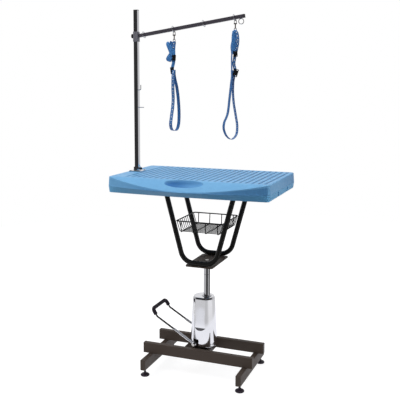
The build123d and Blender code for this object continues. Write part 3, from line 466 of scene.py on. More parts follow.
def dish_z(x, y):
    """Lower side of the tilted ellipsoid, or None outside it."""
    half_x, half_y, half_z = DISH_HALF
    room = 1 - ((x - TOP_X) / half_x) ** 2
    if room <= 0:
        return None
    cos, sin = math.cos(DISH_TILT), math.sin(DISH_TILT)
    dy = y - DISH_Y
    # quadratic in the height above the ellipsoid's centre
    a = (sin / half_y) ** 2 + (cos / half_z) ** 2
    b = 2 * dy * cos * sin * (1 / half_y ** 2 - 1 / half_z ** 2)
    c = (dy * cos / half_y) ** 2 + (dy * sin / half_z) ** 2 - room
    inside = b * b - 4 * a * c
    if inside <= 0:
        return None
    return DISH_Z + (-b - math.sqrt(inside)) / (2 * a)


def top_z(x, y):
    z = slope_z(x, y) - GROOVE_DEEP * groove_at(x, y)
    dish = dish_z(x, y) if near_dish(x, y) else None
    if dish is not None and dish < z + DISH_LIP:
        # smooth minimum, so the lip is slightly rounded
        h = max(0.0, min(1.0, 0.5 + 0.5 * (z - dish) / DISH_LIP))
        z = z * (1 - h) + dish * h - DISH_LIP * h * (1 - h)
    return z


def sunk_at(x, y):
    """How strongly the dish is shaded: by its depth, and more on its left."""
    if abs(x - TOP_X) > DISH_REACH or y > SLOPE_Y + 8:
        return 0.0
    deep = max(0.0, min(1.0, (slope_z(x, y) - top_z(x, y)) / 16.0))
    return deep * (1.25 - 0.85 * smooth_step(-75.0, 70.0, x - TOP_X))


def column_xs():
    """X of the mesh columns: close at groove sides, the dish and the rounded corners."""
    xs = set()
    for i in range(GROOVES):
        centre = GROOVE_X + i * GROOVE_PITCH
        xs.update(round(centre + offset, 3) for offset in GROOVE_COLUMNS)
    xs.update(round(TOP_X + k * 2.0, 3) for k in range(-60, 61))
    last_groove = GROOVE_X + (GROOVES - 1) * GROOVE_PITCH
    for x, end in ((LEFT + CORNER, GROOVE_X - 17), (last_groove + 17, RIGHT - CORNER)):
        while x < end:
            xs.add(round(x, 3))
            x += 6
    body = []
    for x in sorted(x for x in xs if LEFT + CORNER <= x <= RIGHT - CORNER):
        if not body or x - body[-1] > 0.55:
            body.append(x)
    angles = (2, 15, 30, 45, 60, 75)
    left = [LEFT + CORNER * (1 - math.cos(math.radians(a))) for a in angles]
    right = [RIGHT - CORNER * (1 - math.cos(math.radians(a))) for a in reversed(angles)]
    return ([x for x in left if x < body[0] - 0.3] + body
            + [x for x in right if x > body[-1] + 0.3])


def column_ys(x):
    """Y of the mesh rows in one column, front to back."""
    inset = 0.0
    to_end = min(x - LEFT, RIGHT - x)
    if to_end < CORNER:
        inset = CORNER - math.sqrt(max(0.0, CORNER ** 2 - (CORNER - to_end) ** 2))
    front, back = front_edge(x) + inset, BACK - inset
    start, end = SLOPE_Y + 16, BACK - 26
    fixed = [SLOPE_Y + offset for offset in ROWS_BEHIND_SLOPE]
    fixed += [start + (end - start) * (k + 1) / MIDDLE_ROWS for k in range(MIDDLE_ROWS)]
    fixed += [BACK - offset for offset in ROWS_BEFORE_BACK]
    ys = [front + (SLOPE_Y - front) * (k / FRONT_ROWS) for k in range(FRONT_ROWS)]
    ys += [min(max(y, front + 0.01), back - 0.01) for y in fixed] + [back]
    for k in range(1, len(ys)):
        if ys[k] <= ys[k - 1]:
            ys[k] = ys[k - 1] + 0.02
    return ys


def on_front(point):
    """1 on the bowed front, 0 on the other sides."""
    return 1.0 if point.y < FRONT + 0.5 else 0.0


def wall_shade(point, z):
    """Soft shade of the side below an edge point: on the bowed front it grows from the left
    end to the middle, on the right end from front to back."""
    if on_front(point) > 0:
        return ((0.12 + 0.88 * smooth_step(-400.0, -90.0, point.x - TOP_X))
                * smooth_step(1.0, 9.0, point.z - z))
    return 0.05 + 0.6 * smooth_step(-230.0, 240.0, point.y) if point.x > RIGHT - 20 else 0.0


def skirt_rings(edge, outward):
    """Rings of points from the top's edge down the outside and up into the cavity."""
    sides = list(zip(edge, outward))

    def rounded(degrees, side_radius=5.0, front_radius=2.6):
        angle = math.radians(degrees)
        ring = []
        for p, n in sides:
            radius = side_radius + (front_radius - side_radius) * on_front(p)
            radius = min(radius, max(0.6, (p.z - BELT_Z) * 0.5) + 0.5)
            ring.append(p + n * (radius * math.sin(angle))
                        - Vector((0, 0, radius * (1 - math.cos(angle)))))
        return ring

    def belt(out, z=BELT_Z):
        return [Vector((p.x, p.y, z)) + n * out for p, n in sides]

    def fascia(rim, foot, f):
        ring = []
        for a, b in zip(rim, foot):
            point = a.lerp(b, f)
            point.z = min(a.z + (b.z - a.z) * f, a.z)
            ring.append(point)
        return ring

    def low_y(p):
        return p.y + on_front(p) * (BOW_DEPTH - LOW_BOW) * bow(p.x)

    def undercut(f, inset=0.0):
        """f is 0 at the belt and 1 at the bottom edge."""
        ring = []
        for p, n in sides:
            point = Vector((p.x, p.y + (low_y(p) - p.y) * f, 0)) + n * (LIP_OUT - 4.4 * f - inset)
            point.z = BELT_Z - BELT_LIP + (BOTTOM_Z - BELT_Z + BELT_LIP) * f
            ring.append(point)
        return ring

    def cavity(z, inset=8.5):
        f = (z - BOTTOM_Z) / (CAVITY_TOP - BOTTOM_Z)
        half = TOP_WIDTH / 2 - WALL
        ring = []
        for p, n in sides:
            point = Vector((p.x, low_y(p), 0)) + n * (BOTTOM_OUT - inset)
            if on_front(p) > 0:
                point.y = point.y + (max(point.y, CAVITY_FRONT) - point.y) * min(1, f * 2.2)
            point.x = max(TOP_X - half, min(TOP_X + half, point.x))
            point.y = min(point.y, BACK - WALL)
            if f > 0.45:
                point.y = max(point.y, CAVITY_FRONT)
            point.z = z
            ring.append(point)
        return ring

    rings = [rounded(degrees) for degrees in (18, 36, 54, 72, 88)]
    rim, foot = rings[-1], belt(8.0)
    rings += [fascia(rim, foot, f) for f in (0.25, 0.5, 0.75, 0.93)]
    rings += [belt(BELT_OUT), belt(LIP_OUT, BELT_Z - BELT_LIP)]
    rings += [undercut(f) for f in (0.12, 0.3, 0.5, 0.7, 0.88, 0.96)]
    # the bottom edge is drawn in a little, then turned under
    rings.append([point - n * 2.0 for point, n in zip(undercut(1.0), outward)])
    rings.append(undercut(1.0, inset=8.0))
    rings += [cavity(z) for z in (1070, 1086, 1094, 1120, 1136)]
    return rings


def build_top():
    columns = [(x, column_ys(x)) for x in column_xs()]
    count, rows = len(columns), len(columns[0][1])
    plan = [(x, y) for x, ys in columns for y in ys]
    verts = [(x, y, top_z(x, y)) for x, y in plan]
    groove = [groove_at(x, y) for x, y in plan]
    sunk = [sunk_at(x, y) for x, y in plan]
    wall = [0.0] * len(verts)
    faces = []
    for i in range(count - 1):
        for j in range(rows - 1):
            a = i * rows + j
            faces.append((a, a + rows, a + rows + 1, a + 1))
    # edge of the top: front left to right, right end, back, left end
    border = [i * rows for i in range(count)]
    border += [(count - 1) * rows + j for j in range(1, rows)]
    border += [i * rows + rows - 1 for i in range(count - 2, -1, -1)]
    border += list(range(rows - 2, 0, -1))
    around = len(border)
    edge = [Vector(verts[i]) for i in border]
    outward = []
    for k in range(around):
        t = edge[(k + 1) % around] - edge[k - 1]
        n = Vector((t.y, -t.x, 0))
        outward.append(n.normalized() if n.length > 1e-9 else Vector((0, -1, 0)))

    previous = border
    for ring in skirt_rings(edge, outward):
        current = list(range(len(verts), len(verts) + around))
        verts += [tuple(point) for point in ring]
        wall += [wall_shade(p, point.z) for p, point in zip(edge, ring)]
        for k in range(around):
            k2 = (k + 1) % around
            faces.append((previous[k], current[k], current[k2], previous[k2]))
        previous = current
    faces.append(tuple(previous))       # ceiling of the cavity
    no_shade = [0.0] * (len(verts) - len(plan))

    obj = mesh_object("tabletop_skin", verts, faces, MATERIALS["top_blue"])
    for name, values in (("groove", groove + no_shade), ("sunk", sunk + no_shade), ("wall", wall)):
        attribute = obj.data.attributes.new(name, "FLOAT", "POINT")
        attribute.data.foreach_set("value", values)
    return obj


def cut_box(low, high):
    bm = bmesh.new()
    bmesh.ops.create_cube(bm, size=1.0)
    for v in bm.verts:
        for a in range(3):
            v.co[a] = (low[a] if v.co[a] < 0 else high[a]) * MM
    mesh = bpy.data.meshes.new("cut")
    bm.to_mesh(mesh)
    bm.free()
    mesh.transform(TO_AXIS)
    return link_object("cut", mesh)


def cut_notches(obj):
    """Two notches in the lower edge of each end."""
    half_width, outside, inside, height = 11, 20, 16, 30
    cutters = []
    for side, end in ((-1, LEFT), (1, RIGHT)):
        for y in (-98, 100):
            x_low, x_high = sorted((end + side * outside, end - side * inside))
            cutters.append(cut_box((x_low, y - half_width, BOTTOM_Z - 5),
                                   (x_high, y + half_width, BOTTOM_Z + height)))
    for cutter in cutters:
        modifier = obj.modifiers.new("notch", "BOOLEAN")
        modifier.operation = "DIFFERENCE"
        modifier.solver = "EXACT"
        modifier.object = cutter
    bpy.context.view_layer.update()
    depsgraph = bpy.context.evaluated_depsgraph_get()
    mesh = bpy.data.meshes.new_from_object(obj.evaluated_get(depsgraph))
    obj.modifiers.clear()
    obj.data = mesh
    for cutter in cutters:
        bpy.data.objects.remove(cutter)


top = build_top()
cut_notches(top)
top.data.set_sharp_from_angle(angle=math.radians(32))
bevel(top, width=0.0012)
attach(top, "turntable")
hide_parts("tabletop")


# ------------------------------------------------------------------ nooses, mm
NOOSE_Y = -12.0
# ribbon section as fractions of half the width and half the thickness: across, up
RIBBON_SECTION = ((-1, 0), (-0.93, 0.8), (-0.5, 1), (0.5, 1), (0.93, 0.8),
                  (1, 0), (0.93, -0.8), (0.5, -1), (-0.5, -1), (-0.93, -0.8))


def ribbon(name, points, width, thickness, upper, lower, body):
    """Flat webbing with rounded edges. points: (x, y, z, and the width direction's x, y, z)."""
    path = catmull(points)
    centres = [Vector(p[:3]) * MM for p in path]
    widths = [Vector(p[3:6]) for p in path]
    half_w, half_t = width * MM / 2, thickness * MM / 2
    section = [(half_w * a, half_t * b) for a, b in RIBBON_SECTION]
    count, sides = len(path), len(section)
    verts, lengths = [], []
    length = 0.0
    for i, centre in enumerate(centres):
        if i:
            length += (centre - centres[i - 1]).length
        lengths.append(length)
        tangent = (centres[min(i + 1, count - 1)] - centres[max(i - 1, 0)]).normalized()
        across = (widths[i] - tangent * widths[i].dot(tangent)).normalized()
        normal = tangent.cross(across).normalized()
        ripple = noise.noise(centre * 60) * 0.00025
        verts += [centre + across * a + normal * (b + ripple) for a, b in section]

    faces, indices, uvs = [], [], []
    for i in range(count - 1):
        u, u2 = lengths[i], lengths[i + 1]
        for k in range(sides):
            k2 = (k + 1) % sides
            v, v2 = section[k][0], section[k2][0]
            row, next_row = i * sides, (i + 1) * sides
            faces.append((row + k, row + k2, next_row + k2, next_row + k))
            indices.append(0 if k <= 4 else 1)
            uvs += [(u, v), (u, v2), (u2, v2), (u2, v)]
    faces.append(tuple(reversed(range(sides))))
    uvs += [(0, a) for a, b in reversed(section)]
    faces.append(tuple((count - 1) * sides + k for k in range(sides)))
    uvs += [(length, a) for a, b in section]
    indices += [1, 1]

    mesh = bpy.data.meshes.new(name)
    mesh.from_pydata([tuple(v) for v in verts], [], faces)
    mesh.materials.append(upper)
    mesh.materials.append(lower)
    mesh.polygons.foreach_set("material_index", indices)
    smooth_all(mesh)
    layer = mesh.uv_layers.new(name="UVMap")
    for i, uv in enumerate(uvs):
        layer.data[i].uv = uv
    mesh.transform(TO_AXIS)
    mesh.update()
    obj = link_object(name, mesh)
    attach(obj, body)
    return obj


def hanging_loop(outline, x, turn):
    """Ribbon points of a loop drawn as (sideways, z) in an upright plane turned about Z."""
    cos, sin = math.cos(math.radians(turn)), math.sin(math.radians(turn))
    return [(x + t * cos, NOOSE_Y + t * sin, z, sin, -cos, 0.0) for t, z in outline]


# (sideways, z) down one side, round the bottom and up the other
LEFT_LOOP = [
    (-17, 1724), (-22, 1690), (-24, 1655), (-24, 1615), (-21, 1568), (-27, 1520),
    (-42, 1467), (-52, 1424), (-40, 1396), (-10, 1386.5), (22, 1391), (44, 1423),
    (49, 1487), (39, 1567), (22, 1630), (1, 1672), (-9, 1700), (-10, 1726)]
RIGHT_LOOP = [
    (5, 1722), (6, 1690), (1, 1655), (-2, 1631), (-10, 1571), (-19, 1502), (-30, 1468),
    (-45, 1440), (-48, 1404), (-28, 1365), (6, 1346), (38, 1369), (45, 1416),
    (35, 1471), (20, 1540), (13, 1601), (14, 1655), (20, 1690), (20, 1722)]

# name ending, width, thickness, material, points as ribbon() takes them:
# the main strap up to the ring, its fold over the ring, and the bunched spare webbing
LEFT_STRAPS = [
    ("main", 18, 2.0, WEB_PLAIN, [
        (-196, -12, 1881, 1, 0, 0), (-196, -13, 1862, 1, 0, 0), (-198, -14, 1838, 1, 0.2, 0),
        (-197, -13, 1805, 1, 0.1, 0), (-197, -12, 1785, 1, 0, 0), (-201, -12, 1762, 1, 0.3, 0),
        (-207, -12, 1738, 1, 0.2, 0), (-208, -12, 1714, 1, 0, 0)]),
    ("fold", 18, 1.8, WEB_PRINT, [
        (-196, -10, 1866, 1, 0, 0), (-196, -9.2, 1874, 1, 0, 0), (-196, -10.6, 1881.3, 1, 0, 0),
        (-196, -14.5, 1882, 1, 0, 0), (-196, -16, 1876, 1, 0, 0), (-197, -16.4, 1862, 1, 0, 0),
        (-199, -17, 1846, 1, 0, 0)]),
    ("spare_a", 26, 2.0, WEB_PLAIN, [
        (-203, -17, 1806, 0.93, 0.36, 0), (-211, -19, 1826, 0.93, 0.36, 0.1),
        (-219, -22, 1848, 0.93, 0.36, 0.1), (-226, -23, 1866, 0.93, 0.36, 0.1),
        (-226, -19, 1874, 0.93, 0.36, 0), (-217, -14, 1872, 0.93, 0.36, 0),
        (-208, -12, 1854, 0.93, 0.36, 0), (-206, -13, 1830, 0.93, 0.36, 0),
        (-203, -15, 1806, 0.93, 0.36, 0)]),
    ("spare_b", 22, 2.0, WEB_PLAIN, [
        (-207, -16.5, 1830, 0.93, 0.36, 0.1), (-214, -19, 1812, 0.93, 0.36, 0.1),
        (-224, -22, 1797, 0.9, 0.36, 0.2), (-229, -23, 1786, 0.9, 0.36, 0.2),
        (-221, -20, 1782, 0.9, 0.36, 0), (-211, -16, 1780, 0.93, 0.36, 0),
        (-204, -14.5, 1786, 0.93, 0.36, 0), (-199, -14.5, 1792, 0.93, 0.36, 0)]),
    ("spare_c", 20, 2.0, WEB_PLAIN, [
        (-211, -17.5, 1826, 0.93, 0.36, 0.1), (-212, -18.5, 1808, 0.93, 0.36, 0),
        (-211, -18, 1792, 0.93, 0.36, 0), (-208, -16.5, 1781, 0.93, 0.36, 0)]),
]
RIGHT_STRAPS = [
    ("main", 17, 2.0, WEB_PRINT, [
        (161, -12, 1934, 1, 0, 0), (160, -13, 1915, 1, 0.1, 0), (158, -14, 1880, 1, 0.2, 0),
        (158, -14, 1845, 1, 0.1, 0), (161, -13, 1812, 1, 0, 0), (158, -12, 1782, 0.9, 0.35, 0),
        (155, -12, 1756, 0.85, 0.4, 0), (161, -12, 1728, 0.9, 0.3, 0),
        (166, -12, 1706, 1, 0, 0)]),
    ("fold", 18, 1.8, WEB_PLAIN, [
        (160, -10, 1918, 1, 0, 0), (160.5, -9.2, 1927, 1, 0, 0), (161, -10.6, 1934.3, 1, 0, 0),
        (161, -14.5, 1935.2, 1, 0, 0), (160, -16, 1928, 1, 0, 0), (158, -16.6, 1912, 1, 0, 0),
        (156, -17, 1895, 1, 0, 0)]),
    ("spare_a", 23, 2.0, WEB_PLAIN, [
        (159, -18, 1930, 0.93, 0.36, 0), (156, -20, 1908, 0.93, 0.36, 0),
        (155, -21, 1882, 0.93, 0.36, 0), (155, -20, 1852, 0.93, 0.36, 0),
        (158, -18, 1828, 0.93, 0.36, 0), (161, -16, 1808, 0.93, 0.36, 0)]),
    ("spare_c", 19, 2.0, WEB_DARK, [
        (148, -15, 1884, 0.65, -0.75, 0), (143, -15, 1868, 0.65, -0.75, 0),
        (140, -15, 1850, 0.65, -0.75, 0), (141, -15, 1830, 0.65, -0.75, 0),
        (143, -14, 1812, 0.65, -0.75, 0), (142, -13, 1786, 0.65, -0.75, 0),
        (142, -12, 1760, 0.65, -0.75, 0), (143, -12, 1720, 0.65, -0.75, 0),
        (143, -12, 1677, 0.65, -0.75, 0), (143, -12, 1650, 0.6, -0.8, 0)]),
    ("spare_b", 17, 2.0, WEB_PRINT, [
        (164, -19, 1931, 0.93, 0.36, 0.1), (174, -22, 1917, 0.9, 0.36, 0.2),
        (179, -24, 1892, 0.93, 0.36, 0), (179, -24, 1868, 0.93, 0.36, 0),
        (174, -22, 1842, 0.93, 0.36, -0.2), (167, -18, 1816, 0.93, 0.36, -0.1)]),
]


def noose(body, loop, loop_width, upper, lower, straps):
    obj = ribbon(body + "_loop", loop, loop_width, 2.0, upper, lower, body)
    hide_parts(body + "_strap")
    for ending, width, thickness, material, points in straps:
        ribbon(f"{body}_{ending}", points, width, thickness, material, material, body)


noose("noose_left", hanging_loop(LEFT_LOOP, x=-192, turn=85), loop_width=20,
      upper=WEB_PRINT, lower=WEB_DARK, straps=LEFT_STRAPS)
noose("noose_right", hanging_loop(RIGHT_LOOP, x=140, turn=56), loop_width=21,
      upper=WEB_DARK, lower=WEB_PRINT, straps=RIGHT_STRAPS)

SLIDE_DEPTH = 9
# noose, which slide, centre, width, height, tilt about Y, turn about Z (degrees)
SLIDES = (
    ("noose_left", "low", (-207, -14.5, 1722), 20, 38, -8, 48),
    ("noose_left", "high", (-195, -18, 1793), 20, 31, 4, 0),
    ("noose_right", "low", (166, -14.5, 1708), 25, 42, 16, 0),
    ("noose_right", "high", (165, -18, 1809), 22, 31, -4, 0),
)


def slide(name, centre, width, height, tilt, turn, body):
    """Three-bar slide: rounded frame with two slots and a middle bar."""
    bars = (    # centre x, centre z, size x, size z
        (0, height / 2 - 1.6, width, 3.2),
        (0, -height / 2 + 1.6, width, 3.2),
        (-width / 2 + 1.5, 0, 3.0, height - 6.3),
        (width / 2 - 1.5, 0, 3.0, height - 6.3),
        (0, 0, width - 5.8, height * 0.66))
    bm = bmesh.new()
    for x, z, size_x, size_z in bars:
        for v in bmesh.ops.create_cube(bm, size=1.0)["verts"]:
            v.co = Vector((x + v.co.x * size_x, v.co.y * SLIDE_DEPTH, z + v.co.z * size_z))
    mesh = bpy.data.meshes.new(name)
    bm.to_mesh(mesh)
    bm.free()
    mesh.materials.append(MATERIALS["knob_black"])
    mesh.transform(Matrix.Scale(MM, 4))
    mesh.transform(Matrix.Translation(Vector(centre) * MM + AXIS)
                   @ Matrix.Rotation(math.radians(turn), 4, "Z")
                   @ Matrix.Rotation(math.radians(tilt), 4, "Y"))
    obj = link_object(name, mesh)
    bevel(obj, width=0.0009, segments=3, angle=30)
    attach(obj, body)
    return obj


for owner, place, *measures in SLIDES:
    if place == "low":
        obj = slide(f"{owner}_slide_low", *measures, body=owner + "_slider_body")
        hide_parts(owner + "_slider")
    else:
        slide(f"{owner}_slide_high", *measures, body=owner)

# ------------------------------------------------------------------ pump cover, mm
COVER_X = -17.0
COVER_Z0, COVER_Z1 = 157.0, 440.0
COVER_R0, COVER_R1 = 77.5, 62.7         # radius at the foot and at the top
FLAT_IN = 7.0                           # depth of the flat on the front
LEDGE_Z0, LEDGE_Z1 = 253.0, 267.0       # sloping ledge below the flat
NOTCH_X0, NOTCH_X1 = -40.0, -6.0        # notch sides, from the cover's centre
SHOULDER_Z = 430.0
HOLE_R = 28.6                           # opening round the column
COVER_COLUMNS = 192
COVER_LEVELS = (
    [COVER_Z0 + rise for rise in (0, 1, 3, 5, 7, 12)]
    + [180, 190, 200, 201.2, 212, 225, 240, 248, 251, 252, 252.6]
    + [LEDGE_Z0 + k for k in range(14)]
    + [266.6, 267.0, 267.4, 268, 270] + list(range(275, 426, 5)) + [428, 430])


def cone_radius(z):
    return COVER_R0 + (COVER_R1 - COVER_R0) * (z - COVER_Z0) / (COVER_Z1 - COVER_Z0)


def cover_radius(angle, z):
    """Angle 0 points to +Y, pi to the front."""
    # rolled lip at the foot
    radius = cone_radius(z) + 0.35 * math.exp(-((z - COVER_Z0 - 3) / 2.4) ** 2)
    facing = -math.cos(angle)
    if z > LEDGE_Z0 and facing > 0.05:
        ledge = max(0.0, (LEDGE_Z1 - z) / (LEDGE_Z1 - LEDGE_Z0))
        radius = min(radius, (cone_radius(z) - FLAT_IN + FLAT_IN * ledge) / facing)
    return radius


def cover_angles():
    """Even steps, plus columns at the notch sides."""
    angles = [2 * math.pi * k / COVER_COLUMNS for k in range(COVER_COLUMNS)]
    for side in (-1, 1):
        for x in (NOTCH_X0, NOTCH_X1):
            angles.append(math.atan2(x, side * math.sqrt(76.5 ** 2 - x * x)) % (2 * math.pi))
    return sorted(set(round(a, 5) for a in angles))


def cover_lid_rings(angles):
    """Rounded shoulder, then the flat top narrowing to the offset opening."""
    def ring(radii, x, z):
        return [(x + r * math.sin(a), r * math.cos(a), z) for r, a in zip(radii, angles)]

    round_r = cone_radius(SHOULDER_Z)
    flat_r = round_r - FLAT_IN
    rings = []
    # inset from the wall, z
    for inset, z in ((0.35, 430.7), (4.2, 439.0), (4.9, 439.7), (6.0, COVER_Z1)):
        radii = [min(round_r - inset, (flat_r - inset) / -math.cos(a))
                 if -math.cos(a) > 0.05 else round_r - inset for a in angles]
        rings.append(ring(radii, COVER_X, z))
    for f in (0.25, 0.5, 0.75, 0.95, 1.0):
        rings.append(ring([r + (HOLE_R - r) * f for r in radii], COVER_X - COVER_X * f, COVER_Z1))
    rings.append(ring([HOLE_R] * len(angles), 0, 438.0))
    return rings


def build_cover():
    angles = cover_angles()
    around = len(angles)
    rings = [[(COVER_X + cover_radius(a, z) * math.sin(a), cover_radius(a, z) * math.cos(a), z)
              for a in angles] for z in COVER_LEVELS]
    rings += cover_lid_rings(angles)
    faces = []
    for j in range(len(rings) - 1):
        low = (j + 1 < len(COVER_LEVELS)
               and (COVER_LEVELS[j] + COVER_LEVELS[j + 1]) / 2 < 200.6)
        row, next_row = j * around, (j + 1) * around
        for k in range(around):
            k2 = (k + 1) % around
            middle = (angles[k] + (angles[k2] if k2 else 2 * math.pi)) / 2
            # notches, front and back
            if low and NOTCH_X0 < 76 * math.sin(middle) < NOTCH_X1:
                continue
            faces.append((next_row + k, next_row + k2, row + k2, row + k))
    verts = [v for ring in rings for v in ring]
    obj = mesh_object("pump_cover_shell", verts, faces, MATERIALS["chrome"])
    bm = bmesh.new()
    bm.from_mesh(obj.data)
    loose = [v for v in bm.verts if not v.link_faces]
    bmesh.ops.delete(bm, geom=loose, context="VERTS")
    bmesh.ops.recalc_face_normals(bm, faces=bm.faces)
    bm.to_mesh(obj.data)
    bm.free()
    obj.data.set_sharp_from_angle(angle=math.radians(17))
    solid = obj.modifiers.new("wall", "SOLIDIFY")
    solid.thickness = 0.002
    solid.offset = -1.0
    return obj


cover = build_cover()
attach(cover, "base")
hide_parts("pump_cover")


# ------------------------------------------------------------------ pump spring
def build_coil():
    """Return spring of the pump, copied from the CAD mesh."""
    source = NODES["plunger_spring"]
    mesh = source.data.copy()
    mesh.name = "plunger_coil"
    mesh.transform(source.matrix_world)
    mesh.materials.clear()
    mesh.materials.append(MATERIALS["steel"])
    smooth_all(mesh)
    return link_object("plunger_coil", mesh)


coil = build_coil()
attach(coil, "base")
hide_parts("plunger_spring")
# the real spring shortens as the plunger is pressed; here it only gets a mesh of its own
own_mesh(coil)

# ------------------------------------------------------------------ CAD nodes
# the rest keep their shape and get finishes, soft edges and smooth shading
REPLACED = {"plunger_spring", "tabletop", "noose_left_strap", "noose_right_strap",
            "noose_left_slider", "noose_right_slider", "pump_cover"}
BEVEL_WIDTHS = {    # metres
    "yoke_plate": 0.0012, "pump_mounting_plate": 0.001, "pump_body": 0.0015,
    "post_flange": 0.0012, "arm_clamp": 0.0012, "top_subframe": 0.0012,
    "clamp_knob": 0.0015, "yoke_hub": 0.0008, "post_cap": 0.0008,
    "arm_end_cap": 0.0008, "rail_end_caps": 0.0007,
}
nickel = metal("dark_nickel", (0.17, 0.13, 0.11), rough=0.32, vary=0.06, strength=0.15)
# nodes whose finish differs from their slot's
FINISH = {
    "post_flange": MATERIALS["chrome"],
    "flange_screws": MATERIALS["chrome"],
    "rail_end_caps": paint("cap_brown_grey", (84, 74, 67), rough=0.5, grain=1500, strength=0.3,
                           distance=0.0003, vary=0.08, specular=0.25),
}
for name in NODES:
    if name.startswith("noose_") and name.endswith(("_hook", "_gate")):
        FINISH[name] = nickel


def finish_node(name, obj):
    """Smooth shading is split by modifiers, so the CAD mesh itself stays as packed."""
    obj.data.materials.clear()
    obj.data.materials.append(FINISH.get(name, MATERIALS[SLOT[name]]))
    smooth_all(obj.data)
    weld = obj.modifiers.new("weld", "WELD")
    weld.merge_threshold = 0.00001
    soft = name in BEVEL_WIDTHS
    if soft:
        bevel(obj, width=BEVEL_WIDTHS[name])
    split = obj.modifiers.new("edges", "EDGE_SPLIT")
    split.split_angle = math.radians(32)
    split.use_edge_sharp = False
    if soft:
        even = obj.modifiers.new("even", "WEIGHTED_NORMAL")
        even.keep_sharp = False
        even.weight = 100


for name, obj in NODES.items():
    if name not in REPLACED:
        finish_node(name, obj)

# ------------------------------------------------------------------ floor and room, metres
CAMERA = (1.280894, -3.460014, 1.631367)    # from the column's axis
CAMERA_AZIMUTH = math.atan2(CAMERA[1], CAMERA[0])

# Brightness by plan angle in degrees, 0 towards the camera.
# Floor seen in metal, from high up (far) and from low down (mid)
FLOOR_FAR = ((-180, 0.75), (-130, 0.50), (-38, 0.48), (-30, 0.05), (40, 0.05), (47, 0.62),
             (66, 0.62), (73, 0.03), (145, 0.03), (155, 0.95))
FLOOR_MID = ((-180, 0.95), (-100, 0.85), (-62, 0.70), (-20, 0.66), (18, 0.60), (34, 0.66),
             (46, 0.90), (84, 0.90), (98, 0.72), (150, 0.72), (180, 0.95))
# Room seen in metal and gloss, near the horizon and higher up
ROOM_LOW = ((-180, 0.85), (-130, 0.55), (-95, 0.30), (-72, 0.03), (28, 0.035), (48, 0.40),
            (95, 0.55), (132, 0.62), (150, 0.68), (180, 0.85))
ROOM_HIGH = ((-180, 0.85), (-140, 0.5), (-112, 0.03), (112, 0.03), (140, 0.5), (180, 0.85))
# Soft light from near the horizon
SOFT_LOW = ((-180, 0.45), (-100, 0.55), (-60, 0.30), (-30, 0.08), (60, 0.08), (95, 0.22),
            (150, 0.35), (180, 0.45))

# bright patch of floor: a strip along a bearing through a point, and where its round end starts
PATCH_BEARING = math.radians(-110.3)
PATCH_POINT = (-0.017, -0.0647)
PATCH_HALF, PATCH_END, PATCH_ROUND = 0.036, 1.50, 0.20


def azimuth(m, x, y):
    """Plan angle from the direction of the camera, scaled to 0..1 with the camera at 0.5."""
    cos, sin = math.cos(CAMERA_AZIMUTH), math.sin(CAMERA_AZIMUTH)
    ahead = m.calc("ADD", m.calc("MULTIPLY", x, cos), m.calc("MULTIPLY", y, sin))
    aside = m.calc("SUBTRACT", m.calc("MULTIPLY", y, cos), m.calc("MULTIPLY", x, sin))
    turn = m.calc("DIVIDE", m.calc("ARCTAN2", aside, ahead), 2 * math.pi)
    return m.calc("ADD", turn, 0.5)


def around_ramp(m, angle, table):
    return m.ramp(angle, [((degrees + 180.0) / 360.0, (grey, grey, grey * 1.02, 1))
                          for degrees, grey in table])


def patch_mask(m, x, y, distance):
    cos, sin = math.cos(PATCH_BEARING), math.sin(PATCH_BEARING)
    aside = m.calc("SUBTRACT", m.calc("MULTIPLY", y, cos), m.calc("MULTIPLY", x, sin))
    aside = m.calc("SUBTRACT", aside, PATCH_POINT[1] * cos - PATCH_POINT[0] * sin)
    past_end = m.calc("MAXIMUM", m.calc("SUBTRACT", distance, PATCH_END), 0.0)
    shape = m.ellipse(m.calc("ABSOLUTE", aside), past_end, half_x=PATCH_HALF, half_y=PATCH_ROUND)
    return m.remap(shape, start=0.8, end=1.1, low=1.0, high=0.0)


def floor_in_metal(m, rays):
    """What polished metal sees in the floor: lit paper close by, the darker room further off."""
    geometry = m.add("ShaderNodeNewGeometry")
    from_axis = m.add("ShaderNodeVectorMath", operation="SUBTRACT")
    m.link(geometry.outputs["Position"], from_axis.inputs[0])
    from_axis.inputs[1].default_value = AXIS
    place = m.split(from_axis.outputs[0])
    x, y = place["X"], place["Y"]
    angle = azimuth(m, x, y)
    incoming = m.split(geometry.outputs["Incoming"])
    # height of the metal that sends the ray
    source_z = m.calc("MULTIPLY", rays["Ray Length"], incoming["Z"])
    distance = m.calc("SQRT", m.calc("ADD", m.calc("MULTIPLY", x, x), m.calc("MULTIPLY", y, y)))
    far = around_ramp(m, angle, FLOOR_FAR)
    mid = around_ramp(m, angle, FLOOR_MID)
    mid = m.mix(patch_mask(m, x, y, distance), mid, (0.84, 0.85, 0.90, 1))
    near = m.mix(m.remap(distance, start=1.10, end=1.24), (0.98, 0.99, 1.04, 1), mid)
    return m.mix(m.remap(source_z, start=0.425, end=0.450), near, far)


def floor_paper():
    m = Material("floor_paper")
    place = m.coords()
    m.surface({
        "Base Color": m.ramp(m.noise(place, scale=2.0, detail=3),
                             [(0.3, (0.40, 0.40, 0.405, 1)), (0.7, (0.43, 0.43, 0.432, 1))]),
        "Roughness": 0.9,
        "Specular IOR Level": 0.1,
        "Emission Color": (1, 1, 1, 1),
        "Emission Strength": 0.84,
        "Normal": m.bump(m.noise(place, scale=300, detail=2), strength=0.05, distance=0.0005)})
    rays = m.add("ShaderNodeLightPath").outputs
    glossy = m.source("ShaderNodeEmission", floor_in_metal(m, rays))
    diffuse = m.source("ShaderNodeEmission", (0.34, 0.34, 0.35, 1))
    shader = m.mix_shader(rays["Is Glossy Ray"], m.principled.outputs[0], glossy)
    shader = m.mix_shader(rays["Is Diffuse Ray"], shader, diffuse)
    m.link(shader, m.tree.nodes["Material Output"].inputs["Surface"])
    return m.material


